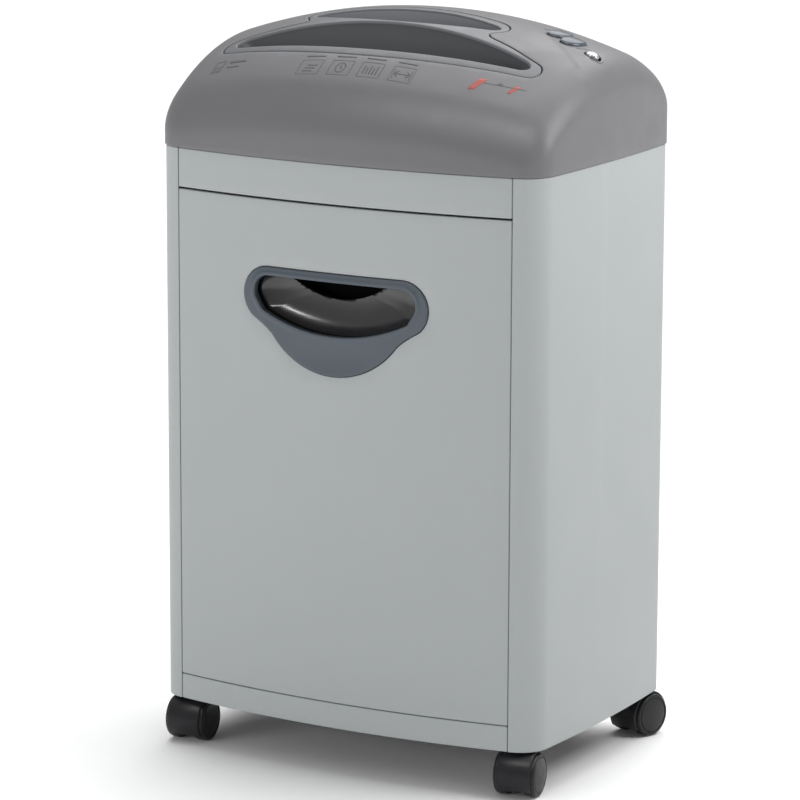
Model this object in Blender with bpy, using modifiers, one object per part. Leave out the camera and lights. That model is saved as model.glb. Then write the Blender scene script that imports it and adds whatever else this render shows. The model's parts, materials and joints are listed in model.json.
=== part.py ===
"""Paper and disc shredder: a domed head with the cutter on a cabinet with a pull-out bin, on four twin-wheel casters.

The frame: X to the right, the front faces -Y, Z up, the floor at Z = 0. Sizes are millimetres; MM turns them
into metres.
"""

import math

import bmesh
import bpy
from mathutils import Matrix, Vector

MM = 0.001
GAP = 0.3  # air between two touching parts

# Cabinet plan: a box whose front and sides bow outwards
HALF_WIDTH = 175.0
HALF_DEPTH = 120.0
SHIFT_Y = -5.0  # the casters reach past the back, so the whole moves forwards to centre its footprint
SIDE_BOW = 0.00033
FRONT_BOW = 0.00059
FRONT_CORNER = 24.7
REAR_CORNER = 13.3
CABINET_BOTTOM = 37.5
CABINET_TOP = 488.2
SKIN = 2.0
SEAM_X = 150.4
SEAM = 0.5
PLINTH_TOP = 58.0
DOOR_TOP = 455.7
STRIP_BOTTOM = 457.2

# Head
HEAD_BOTTOM = 488.5
HEAD_OVERHANG = 1.0
HEAD_WALL = 2.5
CROWN_Z = 595.6
CROWN_Y = 21.5
SIDE_DROP = 32.5
SIDE_POWER = 2.06
END_DROP = 43.9
END_POWER = 2.19
HEAD_FILLET = 22.7
HEAD_CUT = (500.0, 620.0)  # heights of the cutters that pass through the dome
BASE_LOW = 489.0
BASE_HIGH = 492.0
DROP_HALF = (116.0, 42.0)

# Throat insert: plan edges as y = offset + bow * x * x
INSERT_FRONT = (-74.0, 0.00089)
INSERT_REAR = (-15.4, -0.00136)
INSERT_BACK = (20.5, -0.0016)
INSERT_SINK = 0.4
INSERT_WALL = 2.4
FUNNEL_WALL = 2.0
FUNNEL_FOOT = 552.0
SLOT_END = 545.0
PAPER = {"y": -46.7, "half": 131.5, "middle": 19.6, "bow": 0.00087, "slot": (111.0, 3.0)}
DISC = {"y": -5.4, "half": 83.0, "middle": 17.6, "bow": 0.00195, "slot": (63.0, 2.6)}

# Controls, in plan
LEAF_SIZE = (24.0, 13.6)
FORWARD_LEAF = (119.0, 27.3, math.radians(58.0))
REVERSE_LEAF = (133.8, 21.0, math.radians(58.0))
LEAF_PROUD = 2.2
LEAF_STEM = 2.2
LEAF_HEIGHT = 7.0
BOARD_Z = 557.5
LAMP = (155.5, 12.0)
LAMP_RADIUS = 6.0

# Cutter
SHAFT_Z = 514.0
SHAFT_FRONT_Y = -44.5
SHAFT_REAR_Y = -15.5
DISC_RADIUS = 18.0
CORE_RADIUS = 10.5
JOURNAL_RADIUS = 7.0
DISC_COUNT = 12
DISC_PITCH = 18.0
DISC_WIDTH = 8.0
SHAFT_SIDES = 12
CUTTER_X = 118.0
PLATE = 3.0
BLOCK = 7.5

# Drive: gears of 20 degrees pressure angle
MODULE = 1.25
SYNC_MODULE = 1.45
SYNC_TEETH = 20
PINION_TEETH = 14
WHEEL_TEETH = 36
DRIVE_TEETH = 30
TRAIN_RISE = math.radians(25.0)
GEAR_LOW_X = (123.0, 130.0)
GEAR_HIGH_X = (130.6, 136.0)
MOTOR_RADIUS = 29.0
MOTOR_X = (30.0, 117.4)
PIN_RADIUS = 3.0

# Bin
TUB_HALF = 147.6
TUB_FRONT = -80.0
TUB_BACK = 104.0
TUB_LOW = 62.3
TUB_HIGH = 440.0
TUB_WALL = 2.0
RETURN_BACK = -60.0
BEZEL_PROUD = 1.5
BOWL_BACK = -84.0

# Casters
STEM_X = 151.0
STEM_Y = {"front": -76.0, "rear": 93.0}
TRAIL = 16.0
AXLE_Z = 17.5
WHEEL_SIDES = 20
WHEEL_RADIUS = AXLE_Z / math.cos(math.pi / WHEEL_SIDES)
WHEEL_IN = 6.4
WHEEL_OUT = 17.2
HOOD_RADIUS = 19.5
HOOD_WALL = 1.6
HOOD_HALF = 14.0
STEM_RADIUS = 4.0
COLLAR_RADIUS = 5.8
STEM_TOP = 54.0
YAW = {"front_left": 0.098, "front_right": 0.163, "rear_left": 0.20, "rear_right": -0.27}

parts = bpy.data.collections.new("paper_shredder")
cutters = bpy.data.collections.new("cutters")


# Scene and materials

def clear_scene():
    for thing in list(bpy.data.objects):
        bpy.data.objects.remove(thing, do_unlink=True)
    for collection in (parts, cutters):
        bpy.context.scene.collection.children.link(collection)


def material(name, colour, roughness, metallic=0.0):
    mat = bpy.data.materials.new(name)
    mat.use_nodes = True
    shader = mat.node_tree.nodes["Principled BSDF"]
    shader.inputs["Base Color"].default_value = (*colour, 1.0)
    shader.inputs["Roughness"].default_value = roughness
    shader.inputs["Metallic"].default_value = metallic
    mat.diffuse_color = (*colour, 1.0)
    return mat


# Building blocks

def add(name, mesh, mat=None):
    """An object from a mesh: a part where it has a material, otherwise a cutter."""
    thing = bpy.data.objects.new(name, mesh)
    if mat is None:
        cutters.objects.link(thing)
        thing.hide_render = True
        thing.display_type = "WIRE"
    else:
        parts.objects.link(thing)
        mesh.materials.append(mat.copy())
        mesh.materials[0].name = name
    return thing


def combine(thing, tool, operation):
    step = thing.modifiers.new(operation.lower(), "BOOLEAN")
    step.operation = operation
    step.solver = "EXACT"
    step.object = tool
    return thing


def cut(thing, tool):
    return combine(thing, tool, "DIFFERENCE")


def join(thing, tool):
    return combine(thing, tool, "UNION")


def mesh_of(bm, name):
    bmesh.ops.recalc_face_normals(bm, faces=bm.faces)
    mesh = bpy.data.meshes.new(name)
    bm.to_mesh(mesh)
    bm.free()
    return mesh


def smooth(thing, angle=35.0):
    thing.data.shade_smooth()
    thing.data.set_sharp_from_angle(angle=math.radians(angle))
    return thing


def box(name, low, high, mat=None, bevel=0.0):
    """A block between two corners, its edges rounded where a bevel is given."""
    bm = bmesh.new()
    size = [(b - a) * MM for a, b in zip(low, high)]
    middle = [(a + b) / 2.0 * MM for a, b in zip(low, high)]
    bmesh.ops.create_cube(bm, size=1.0, matrix=Matrix.Translation(middle) @ Matrix.Diagonal((*size, 1.0)))
    thing = add(name, mesh_of(bm, name), mat)
    if bevel:
        step = thing.modifiers.new("round", "BEVEL")
        step.width = bevel * MM
        step.segments = 2
    return thing


def flat(name, outlines, low, high, mat=None, turn=None):
    """A plate: outlines in local XY, the first with the others as holes, from local Z low to high."""
    curve = bpy.data.curves.new(name, "CURVE")
    curve.dimensions = "2D"
    curve.fill_mode = "BOTH"
    curve.extrude = (high - low) / 2.0 * MM
    for outline in outlines:
        spline = curve.splines.new("POLY")
        spline.points.add(len(outline) - 1)
        for point, (x, y) in zip(spline.points, outline):
            point.co = (x * MM, y * MM, 0.0, 1.0)
        spline.use_cyclic_u = True
    maker = bpy.data.objects.new(name, curve)
    bpy.context.scene.collection.objects.link(maker)
    graph = bpy.context.evaluated_depsgraph_get()
    mesh = bpy.data.meshes.new_from_object(maker.evaluated_get(graph))
    bpy.data.objects.remove(maker)
    bm = bmesh.new()
    bm.from_mesh(mesh)
    bmesh.ops.remove_doubles(bm, verts=bm.verts, dist=1e-6)
    bmesh.ops.translate(bm, verts=bm.verts, vec=(0.0, 0.0, (low + high) / 2.0 * MM))
    if turn is not None:
        bmesh.ops.transform(bm, matrix=turn, verts=bm.verts)
    return add(name, mesh_of(bm, name), mat)


ALONG_X = Matrix(((0, 0, 1, 0), (1, 0, 0, 0), (0, 1, 0, 0), (0, 0, 0, 1)))  # local x, y, z to Y, Z, X
ALONG_Y = Matrix(((1, 0, 0, 0), (0, 0, 1, 0), (0, -1, 0, 0), (0, 0, 0, 1)))  # local x, y, z to X, -Z, Y


def slab_y(name, outlines, low, high, mat=None):
    """A plate whose outlines are (x, z) points and whose thickness runs from Y low to high."""
    flipped = [[(x, -z) for x, z in outline] for outline in outlines]
    return flat(name, flipped, low, high, mat, ALONG_Y)


def loft(name, rings, mat=None, capped=True):
    """A skin through closed rings of equally many points."""
    bm = bmesh.new()
    rows = [[bm.verts.new(Vector(p) * MM) for p in ring] for ring in rings]
    for lower, upper in zip(rows, rows[1:]):
        for k in range(len(lower)):
            n = (k + 1) % len(lower)
            bm.faces.new((lower[k], lower[n], upper[n], upper[k]))
    if capped:
        bm.faces.new(rows[0])
        bm.faces.new(rows[-1])
    return add(name, mesh_of(bm, name), mat)


def turned(name, profile, sides, mat=None, phase=0.0):
    """A solid of revolution about local Z from (radius, height) points, top to bottom on the outside."""
    bm = bmesh.new()
    start = Matrix.Rotation(phase, 4, "Z")
    row = [bm.verts.new(start @ Vector((r * MM, 0.0, z * MM))) for r, z in profile]
    for k in range(len(profile) - 1):
        if profile[k][0] or profile[k + 1][0]:
            bm.edges.new((row[k], row[k + 1]))
    if profile[0][0] and profile[-1][0]:
        bm.edges.new((row[-1], row[0]))
    mesh = bpy.data.meshes.new(name)
    bm.to_mesh(mesh)
    bm.free()
    thing = add(name, mesh, mat)
    step = thing.modifiers.new("turn", "SCREW")
    step.steps = sides
    step.render_steps = sides
    step.use_merge_vertices = True
    step.merge_threshold = 0.000001
    step.use_smooth_shade = False
    return thing


def rod(name, radius, low, high, sides=16, mat=None):
    return turned(name, [(0.0, high), (radius, high), (radius, low), (0.0, low)], sides, mat)


def place(thing, x, y, z, turn=None):
    """Puts a piece at a point in millimetres, turned by a matrix first."""
    thing.matrix_world = Matrix.Translation(Vector((x, y, z)) * MM) @ (turn or Matrix())
    return thing


# Outlines

def arc(cx, cy, radius, start, end, count):
    """Points of a circle's arc, both ends included, angles in degrees."""
    turns = [math.radians(start + (end - start) * k / count) for k in range(count + 1)]
    return [(cx + radius * math.cos(t), cy + radius * math.sin(t)) for t in turns]


def mirrored(half):
    """A closed outline from its right half, which starts and ends on x = 0."""
    return half + [(-x, y) for x, y in reversed(half) if x > 1e-6]


def grown(outline, distance):
    """The outline moved outwards along its own normals; it runs either way round."""
    count = len(outline)
    area = sum(a[0] * b[1] - b[0] * a[1] for a, b in zip(outline, outline[1:] + outline[:1]))
    side = math.copysign(distance, area)
    moved = []
    for k, here in enumerate(outline):
        before = Vector(here) - Vector(outline[k - 1])
        after = Vector(outline[(k + 1) % count]) - Vector(here)
        along = (before.normalized() + after.normalized()).normalized()
        reach = side / max(0.6, along.dot(after.normalized()))
        moved.append((here[0] + along.y * reach, here[1] - along.x * reach))
    return moved


def rectangle(cx, cy, half_x, half_y):
    corners = ((-1, -1), (1, -1), (1, 1), (-1, 1))
    return [(cx + x * half_x, cy + y * half_y) for x, y in corners]


def circle(cx, cy, radius, count=16):
    return arc(cx, cy, radius, 0.0, 360.0, count)[:-1]


def front_y(x):
    return -HALF_DEPTH + FRONT_BOW * x * x


def front_at(x, inwards):
    """A point on the front curve at x, moved inwards along the curve's normal."""
    slope = 2.0 * FRONT_BOW * x
    length = math.hypot(1.0, slope)
    return (x - inwards * slope / length, front_y(x) + inwards / length)


def side_at(y, inwards):
    """The same on the right-hand side, at y."""
    slope = 2.0 * SIDE_BOW * y
    length = math.hypot(1.0, slope)
    return (HALF_WIDTH - SIDE_BOW * y * y - inwards / length, y - inwards * slope / length)


def corner_fit():
    """Where the corner circles touch: x on the front, y on the side for the front corner, y for the rear corner."""
    a, b = 150.0, -95.0
    for _ in range(60):
        side = side_at(b, FRONT_CORNER)
        front = front_at(a, FRONT_CORNER)
        a += side[0] - front[0]
        b += front[1] - side[1]
    c = 100.0
    for _ in range(60):
        c += HALF_DEPTH - REAR_CORNER - side_at(c, REAR_CORNER)[1]
    return a, b, c


FRONT_TOUCH, SIDE_TOUCH, REAR_TOUCH = corner_fit()


def plan_half(inwards, start_x=0.0, front_steps=5, corner_steps=5, side_steps=6, rear_x=0.0, rear_steps=1):
    """The right half of the cabinet's plan, moved inwards, from the front to the back."""
    points = []
    for k in range(front_steps + 1):
        points.append(front_at(start_x + (FRONT_TOUCH - start_x) * k / front_steps, inwards))
    cx, cy = front_at(FRONT_TOUCH, FRONT_CORNER)
    start = math.degrees(math.atan2(points[-1][1] - cy, points[-1][0] - cx))
    end = math.degrees(math.atan2(side_at(SIDE_TOUCH, 0.0)[1] - cy, side_at(SIDE_TOUCH, 0.0)[0] - cx))
    points += arc(cx, cy, FRONT_CORNER - inwards, start, end, corner_steps)[1:]
    for k in range(1, side_steps + 1):
        points.append(side_at(SIDE_TOUCH + (REAR_TOUCH - SIDE_TOUCH) * k / side_steps, inwards))
    cx, cy = side_at(REAR_TOUCH, REAR_CORNER)
    start = math.degrees(math.atan2(points[-1][1] - cy, points[-1][0] - cx))
    points += arc(cx, cy, REAR_CORNER - inwards, start, 90.0, 3)[1:]
    for k in range(1, rear_steps + 1):
        points.append((cx + (rear_x - cx) * k / rear_steps, HALF_DEPTH - inwards))
    return points


def dome_z(x, y):
    side = SIDE_DROP * (abs(x) / 176.0) ** SIDE_POWER
    end = END_DROP * (abs(y - CROWN_Y) / 120.0) ** END_POWER
    return CROWN_Z - side - end


def throat_outline(throat, grow=0.0, steps=8):
    """A throat's lens in plan: two arcs that close in a rounded tip at each end."""
    half = throat["half"] + grow
    upper = []
    for k in range(steps * 2 + 1):
        x = -half * math.cos(math.pi * k / (steps * 2))
        reach = throat["middle"] + grow - throat["bow"] * x * x
        tip = min(1.0, (half - abs(x)) / 7.0)
        upper.append((x, throat["y"] + reach * math.sqrt(max(0.0, tip * (2.0 - tip)))))
    lower = [(x, 2.0 * throat["y"] - y) for x, y in upper[1:-1]]
    return upper + lower[::-1]


def slot_outline(throat, grow=0.0, steps=8):
    """The slot at a throat's foot, point for point with the throat's outline."""
    half, thick = throat["slot"][0] + grow, throat["slot"][1] + grow
    points = []
    for x, y in throat_outline(throat, grow, steps):
        share = x / (throat["half"] + grow)
        side = 0.0 if abs(share) > 0.999 else math.copysign(1.0, y - throat["y"])
        points.append((half * share, throat["y"] + side * thick * min(1.0, (1.0 - abs(share)) * 40.0)))
    return points


def insert_outline():
    """The throat insert in plan: the paper lens's rim, a notch, and the disc lens's rim behind it."""
    half = [(x, INSERT_FRONT[0] + INSERT_FRONT[1] * x * x) for x in (0, 20, 40, 60, 80, 100, 118, 128)]
    half += arc(132.2, -48.6, 9.6, -75.0, 75.0, 5)
    half += [(x, INSERT_REAR[0] + INSERT_REAR[1] * x * x) for x in (124, 110, 97, 88)]
    half += [(83.8, -23.4), (81.8, -20.2), (83.4, -16.8), (87.2, -11.6), (89.6, -5.0), (88.4, 1.4), (84.0, 6.4)]
    half += [(x, INSERT_BACK[0] + INSERT_BACK[1] * x * x) for x in (76, 64, 48, 32, 16, 0)]
    return mirrored(half)


def leaf_outline(leaf, grow=0.0, steps=8):
    """A leaf-shaped button in plan, its long axis at the leaf's own angle."""
    cx, cy, angle = leaf
    length, width = LEAF_SIZE[0] / 2.0 + grow, LEAF_SIZE[1] / 2.0 + grow
    shape = []
    for k in range(steps * 2):
        t = math.pi * k / steps
        shape.append((length * math.cos(t), width * math.sin(t) * abs(math.sin(t)) ** 0.35))
    c, s = math.cos(angle), math.sin(angle)
    return [(cx + x * c - y * s, cy + x * s + y * c) for x, y in shape]


def bezel_outline():
    """The handle's frame, in (x, z): a bean with a round lobe under it."""
    half = arc(60.5, 380.5, 22.5, 90.0, -50.0, 8)
    half += [(66.0, 358.4), (60.5, 355.2)] + arc(0.0, 391.3, 69.5, -37.0, -90.0, 7)
    return mirrored(half)


def mouth_outline():
    """The opening in the handle's frame, in (x, z)."""
    half = arc(60.0, 383.5, 12.5, 90.0, -40.0, 6)
    half += arc(0.0, 501.8, 148.3, -64.0, -90.0, 6)
    return mirrored(half)


# Head

def head_ring(inwards):
    """The head's plan moved inwards: true offsets near the edge, scaled towards the middle after that."""
    edge = min(inwards, 11.0)
    ring = mirrored(plan_half(edge - HEAD_OVERHANG, rear_steps=5))
    more = inwards - edge
    kx, ky = 1.0 - more / (HALF_WIDTH - 10.0), 1.0 - more / (HALF_DEPTH - 10.0)
    return [(x * kx, y * ky) for x, y in ring]


def fillet_drop(inwards):
    short = max(0.0, HEAD_FILLET - inwards)
    return HEAD_FILLET - math.sqrt(HEAD_FILLET ** 2 - short ** 2)


def dome_rings(lift):
    """Rings of the head's top surface, from the edge to near the middle."""
    rings = []
    for inwards in (0.0, 1.2, 4.5, 10.5, HEAD_FILLET):
        drop = fillet_drop(inwards) - lift
        rings.append([(x, y, dome_z(x, y) - drop) for x, y in head_ring(inwards)])
    inner = head_ring(HEAD_FILLET)
    for share in (0.80, 0.58, 0.34, 0.12):
        rings.append([(x * share, y * share, dome_z(x * share, y * share) + lift) for x, y in inner])
    return rings


def dome_skin(name, thickness, lift, skirt, mat):
    """The domed skin, closed over the top, with its skirt when asked for, thickened inwards."""
    rings = dome_rings(lift)
    if skirt:
        rings.insert(0, [(x, y, HEAD_BOTTOM) for x, y, _ in rings[0]])
    thing = loft(name, rings, mat, capped=False)
    bm = bmesh.new()
    bm.from_mesh(thing.data)
    bm.verts.ensure_lookup_table()
    last = list(bm.verts)[-len(rings[0]):]
    middle = bm.verts.new(Vector((0.0, 0.0, dome_z(0.0, 0.0) + lift)) * MM)
    for k, vert in enumerate(last):
        bm.faces.new((vert, last[(k + 1) % len(last)], middle))
    bmesh.ops.recalc_face_normals(bm, faces=bm.faces)
    if sum(face.normal.z for face in bm.faces) < 0.0:
        bmesh.ops.reverse_faces(bm, faces=bm.faces)
    bm.to_mesh(thing.data)
    bm.free()
    wall = thing.modifiers.new("wall", "SOLIDIFY")
    wall.thickness = thickness * MM
    wall.offset = -1.0
    return thing


def dome_normal(x, y):
    step = 0.5
    rise_x = (dome_z(x + step, y) - dome_z(x - step, y)) / (2.0 * step)
    rise_y = (dome_z(x, y + step) - dome_z(x, y - step)) / (2.0 * step)
    return Vector((-rise_x, -rise_y, 1.0)).normalized()


def lamp_turn():
    return Vector((0.0, 0.0, 1.0)).rotation_difference(dome_normal(*LAMP)).to_matrix().to_4x4()


def make_head_cover(mat):
    cover = dome_skin("head_cover", HEAD_WALL, 0.0, True, mat)
    cut(cover, flat("insert_hole", [grown(insert_outline(), 0.5)], *HEAD_CUT))
    for name, leaf in (("forward_hole", FORWARD_LEAF), ("reverse_hole", REVERSE_LEAF)):
        cut(cover, flat(name, [leaf_outline(leaf, 0.5)], *HEAD_CUT))
    hole = rod("lamp_hole", LAMP_RADIUS + 0.4, -12.0, 12.0)
    cut(cover, place(hole, *LAMP, dome_z(*LAMP), lamp_turn()))
    cut(cover, box("inlet_hole", (-124.4, 110.0, 500.6), (-95.6, 130.0, 523.4)))
    return smooth(cover)


def funnel(name, throat, grow, top):
    """A throat's tapering hollow down to its slot; a top raises it above the dome."""
    rim = throat_outline(throat, grow)
    foot = slot_outline(throat, grow)
    rings = [[(x, y, dome_z(x, y) - 1.2) for x, y in rim]]
    if top:
        rings = [[(x, y, top) for x, y in rim], [(x, y, dome_z(x, y) + 1.0) for x, y in rim]]
    low = SLOT_END - (8.0 if top else 0.0)
    rings += [[(x, y, FUNNEL_FOOT) for x, y in foot], [(x, y, low) for x, y in foot]]
    return loft(name, rings)


def make_throat_insert(mat):
    insert = dome_skin("throat_insert", INSERT_WALL, -INSERT_SINK, False, mat)
    combine(insert, flat("insert_blank", [insert_outline()], *HEAD_CUT), "INTERSECT")
    for name, throat in (("paper", PAPER), ("disc", DISC)):
        join(insert, funnel(name + "_funnel", throat, FUNNEL_WALL, 0.0))
    for name, throat in (("paper", PAPER), ("disc", DISC)):
        cut(insert, funnel(name + "_hollow", throat, 0.0, HEAD_CUT[1]))
    return smooth(insert)


def make_head_base(mat):
    outline = mirrored(plan_half(HEAD_WALL + 0.8 - HEAD_OVERHANG))
    drop = rectangle(0.0, -30.0, *DROP_HALF)
    return flat("head_base", [outline, drop], BASE_LOW, BASE_HIGH, mat)


def make_button(name, leaf, mat):
    """A button cap that follows the dome, with a stem down to its switch."""
    cap = dome_skin(name, LEAF_HEIGHT, LEAF_PROUD, False, mat)
    combine(cap, flat(name + "_blank", [leaf_outline(leaf)], *HEAD_CUT), "INTERSECT")
    stem = rod(name + "_stem", LEAF_STEM, BOARD_Z + 6.2, dome_z(leaf[0], leaf[1]) - 3.0, 10)
    return smooth(join(cap, place(stem, leaf[0], leaf[1], 0.0)))


def make_lamp(mat):
    profile = [(0.0, 2.2), (2.4, 1.9), (4.4, 1.0), (LAMP_RADIUS, -1.0)]
    profile += [(LAMP_RADIUS, -5.2), (7.6, -5.2), (7.6, -6.6), (0.0, -6.6)]
    lamp = turned("lamp_lens", profile, 16, mat)
    return smooth(place(lamp, *LAMP, dome_z(*LAMP), lamp_turn()))


def make_control_board(mat):
    board = box("control_board", (102.0, 0.0, BOARD_Z - 1.6), (158.0, 48.0, BOARD_Z), mat)
    for k, (x, y) in enumerate((FORWARD_LEAF[:2], REVERSE_LEAF[:2])):
        join(board, box(f"switch_{k}", (x - 3, y - 3, BOARD_Z - 0.4), (x + 3, y + 3, BOARD_Z + 3.4)))
    join(board, box("connector", (104.0, 38.0, BOARD_Z - 0.4), (118.0, 45.0, BOARD_Z + 5.0)))
    return board


def make_power_board(mat):
    board = box("power_board", (-150.0, 20.0, 496.0), (-80.0, 92.0, 497.6), mat)
    join(board, box("transformer", (-142.0, 56.0, 497.0), (-108.0, 84.0, 522.0)))
    for k in range(3):
        x = -144.0 + 20.0 * k
        join(board, box(f"relay_{k}", (x, 26.0, 497.0), (x + 15.0, 44.0, 512.0)))
    for k, (x, y) in enumerate(((-146.0, 24.0), (-84.0, 24.0), (-146.0, 88.0), (-84.0, 88.0))):
        join(board, place(rod(f"board_post_{k}", 2.5, BASE_HIGH + GAP, 496.6, 8), x, y, 0.0))
    return board


def make_capacitor(mat):
    body = [(0.0, 46.0), (3.0, 46.0), (3.0, 42.0), (15.0, 42.0), (15.0, 0.0), (0.0, 0.0)]
    return smooth(place(turned("run_capacitor", body, 16, mat), -44.0, 62.0, 507.6, ALONG_X))


def make_sensors(mat):
    box("paper_sensor", (-7.0, -66.0, 535.0), (7.0, -57.0, 543.0), mat)
    box("disc_sensor", (-7.0, 4.6, 542.0), (7.0, 12.0, 550.0), mat)


# Cutter

def make_cutter_plate(name, side, back, mat):
    outline = [(-70.0, BASE_HIGH + GAP), (back, BASE_HIGH + GAP), (back, 548.0), (-70.0, 548.0)]
    holes = [circle(y, SHAFT_Z, JOURNAL_RADIUS + 0.6, 12) for y in (SHAFT_FRONT_Y, SHAFT_REAR_Y)]
    if side > 0:
        holes.append(circle(*motor_centre(), 6.0, 12))
        outline[2:3] = [(back, 553.0), (6.0, 553.0), (2.0, 548.0)]
    low = CUTTER_X if side > 0 else -CUTTER_X - PLATE
    return flat(name, [outline, *holes], low, low + PLATE, mat, ALONG_X)


def make_cutter_shaft(name, y, phase, ends, mat):
    """Discs and core turned as one, from its right end to its left end."""
    left, right = ends
    profile = [(0.0, right), (JOURNAL_RADIUS, right), (JOURNAL_RADIUS, 109.0), (CORE_RADIUS, 109.0)]
    first = DISC_PITCH * (DISC_COUNT - 1) / 2.0 + phase * DISC_PITCH / 4.0
    for k in range(DISC_COUNT):
        middle = first - DISC_PITCH * k
        high, low = middle + DISC_WIDTH / 2.0, middle - DISC_WIDTH / 2.0
        profile += [(CORE_RADIUS, high), (DISC_RADIUS, high), (DISC_RADIUS, low), (CORE_RADIUS, low)]
    profile += [(CORE_RADIUS, -109.0), (JOURNAL_RADIUS, -109.0), (JOURNAL_RADIUS, left), (0.0, left)]
    return place(turned(name, profile, SHAFT_SIDES, mat), 0.0, y, SHAFT_Z, ALONG_X)


def make_bearing_block(name, side, mat):
    outline = rectangle((SHAFT_FRONT_Y + SHAFT_REAR_Y) / 2.0, SHAFT_Z, 28.0, 12.0)
    holes = [circle(y, SHAFT_Z, JOURNAL_RADIUS + GAP, 16) for y in (SHAFT_FRONT_Y, SHAFT_REAR_Y)]
    inner = CUTTER_X - GAP - BLOCK
    low = inner if side > 0 else -inner - BLOCK
    return flat(name, [outline, *holes], low, low + BLOCK, mat, ALONG_X)


def make_comb(name, side, phase, mat):
    """A bar with fingers that reach between the discs."""
    back, root, tip = (-69.0, -66.0, -57.0) if side < 0 else (9.0, 6.0, -3.0)
    outline = [(109.0, back), (-109.0, back), (-109.0, root)]
    first = -DISC_PITCH * DISC_COUNT / 2.0 + phase * DISC_PITCH / 4.0
    for k in range(DISC_COUNT + 1):
        middle = first + DISC_PITCH * k
        if abs(middle) < 106.0:
            outline += [(middle - 3.0, root), (middle - 3.0, tip), (middle + 3.0, tip), (middle + 3.0, root)]
    outline.append((109.0, root))
    return flat(name, [outline], SHAFT_Z - 4.0, SHAFT_Z + 4.0, mat)


def make_tie_rods(mat):
    span = CUTTER_X - GAP
    for name, y in (("front_tie_rod", -65.0), ("rear_tie_rod", 4.0)):
        smooth(place(rod(name, 3.0, -span, span, 12, mat), 0.0, y, 529.0, ALONG_X))


def make_feed_guides(mat):
    """Two sloping plates and a wedge that lead both slots to the nip between the shafts."""
    nip = (SHAFT_FRONT_Y + SHAFT_REAR_Y) / 2.0
    low, high = 535.0, SLOT_END - GAP - 0.2
    front = [(-53.0, high), (-51.2, high), (-37.2, low), (-39.0, low)]
    rear = [(-0.6, high), (1.2, high), (-21.0, low), (-22.8, low)]
    wedge = [(-42.6, high), (-9.4, high), (nip + 2.0, low - 3.0), (nip - 2.0, low - 3.0)]
    for name, outline in (("front_feed_guide", front), ("rear_feed_guide", rear), ("feed_divider", wedge)):
        flat(name, [outline], -109.0, 109.0, mat, ALONG_X)


# Drive

def gear_outline(teeth, module, phase):
    """A gear with stub teeth whose flanks are chords of the involute, the first tooth at the phase angle."""
    pitch = module * teeth / 2.0
    base = pitch * math.cos(math.radians(20.0))
    root, tip = pitch - 1.05 * module, pitch + 0.8 * module

    def involute(radius):
        turn = math.acos(min(1.0, base / radius))
        return math.tan(turn) - turn

    half = math.pi / (2.0 * teeth) - 0.06 * module / pitch
    flank = []
    for radius in (root, tip):
        flank.append((radius, half + involute(pitch) - involute(max(radius, base))))
    points = []
    for k in range(teeth):
        middle = phase + 2.0 * math.pi * k / teeth
        for radius, angle in [(r, -a) for r, a in flank] + flank[::-1]:
            points.append((radius * math.cos(middle + angle), radius * math.sin(middle + angle)))
    return points


def meshed_phase(phase, teeth, other_teeth, direction):
    """The first tooth's angle of a gear that meshes with another, in a direction seen from the first."""
    return direction + math.pi + math.pi / other_teeth - (phase - direction) * teeth / other_teeth


def reduction_centre():
    reach = MODULE * (DRIVE_TEETH + PINION_TEETH) / 2.0
    return SHAFT_REAR_Y + reach * math.cos(TRAIN_RISE), SHAFT_Z + reach * math.sin(TRAIN_RISE)


def motor_centre():
    y, z = reduction_centre()
    return y + MODULE * (WHEEL_TEETH + PINION_TEETH) / 2.0, z


def make_gear(name, teeth, module, phase, span, centre, bore, mat):
    gear = flat(name, [gear_outline(teeth, module, phase), circle(0.0, 0.0, bore)], *span, mat)
    return place(gear, 0.0, *centre, ALONG_X)


def make_gears(steel, plastic):
    bore = JOURNAL_RADIUS + GAP
    sync = (-130.0, -123.0)
    make_gear("front_sync_gear", SYNC_TEETH, SYNC_MODULE, 0.0, sync, (SHAFT_FRONT_Y, SHAFT_Z), bore, steel)
    other = meshed_phase(0.0, SYNC_TEETH, SYNC_TEETH, 0.0)
    make_gear("rear_sync_gear", SYNC_TEETH, SYNC_MODULE, other, sync, (SHAFT_REAR_Y, SHAFT_Z), bore, steel)
    make_gear("drive_gear", DRIVE_TEETH, MODULE, 0.0, GEAR_LOW_X, (SHAFT_REAR_Y, SHAFT_Z), bore, steel)

    small = meshed_phase(0.0, DRIVE_TEETH, PINION_TEETH, TRAIN_RISE)
    centre = reduction_centre()
    hole = PIN_RADIUS + GAP
    wheel = make_gear("reduction_gear", WHEEL_TEETH, MODULE, 0.0, GEAR_HIGH_X, centre, hole, plastic)
    low = (GEAR_LOW_X[0], GEAR_HIGH_X[0] + 1.0)
    join(wheel, make_gear("reduction_pinion", PINION_TEETH, MODULE, small, low, centre, hole, None))
    pin = rod("gear_pin", PIN_RADIUS, CUTTER_X + PLATE + GAP, GEAR_HIGH_X[1] + 2.2, 12, steel)
    smooth(place(pin, 0.0, *centre, ALONG_X))

    turn = meshed_phase(0.0, WHEEL_TEETH, PINION_TEETH, 0.0)
    outline = gear_outline(PINION_TEETH, MODULE, turn)
    rotor = flat("motor_rotor", [outline], *GEAR_HIGH_X, steel)
    place(rotor, 0.0, *motor_centre(), ALONG_X)
    join(rotor, place(rod("rotor_shaft", 4.0, 104.0, 136.5, 12), 0.0, *motor_centre(), ALONG_X))


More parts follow.
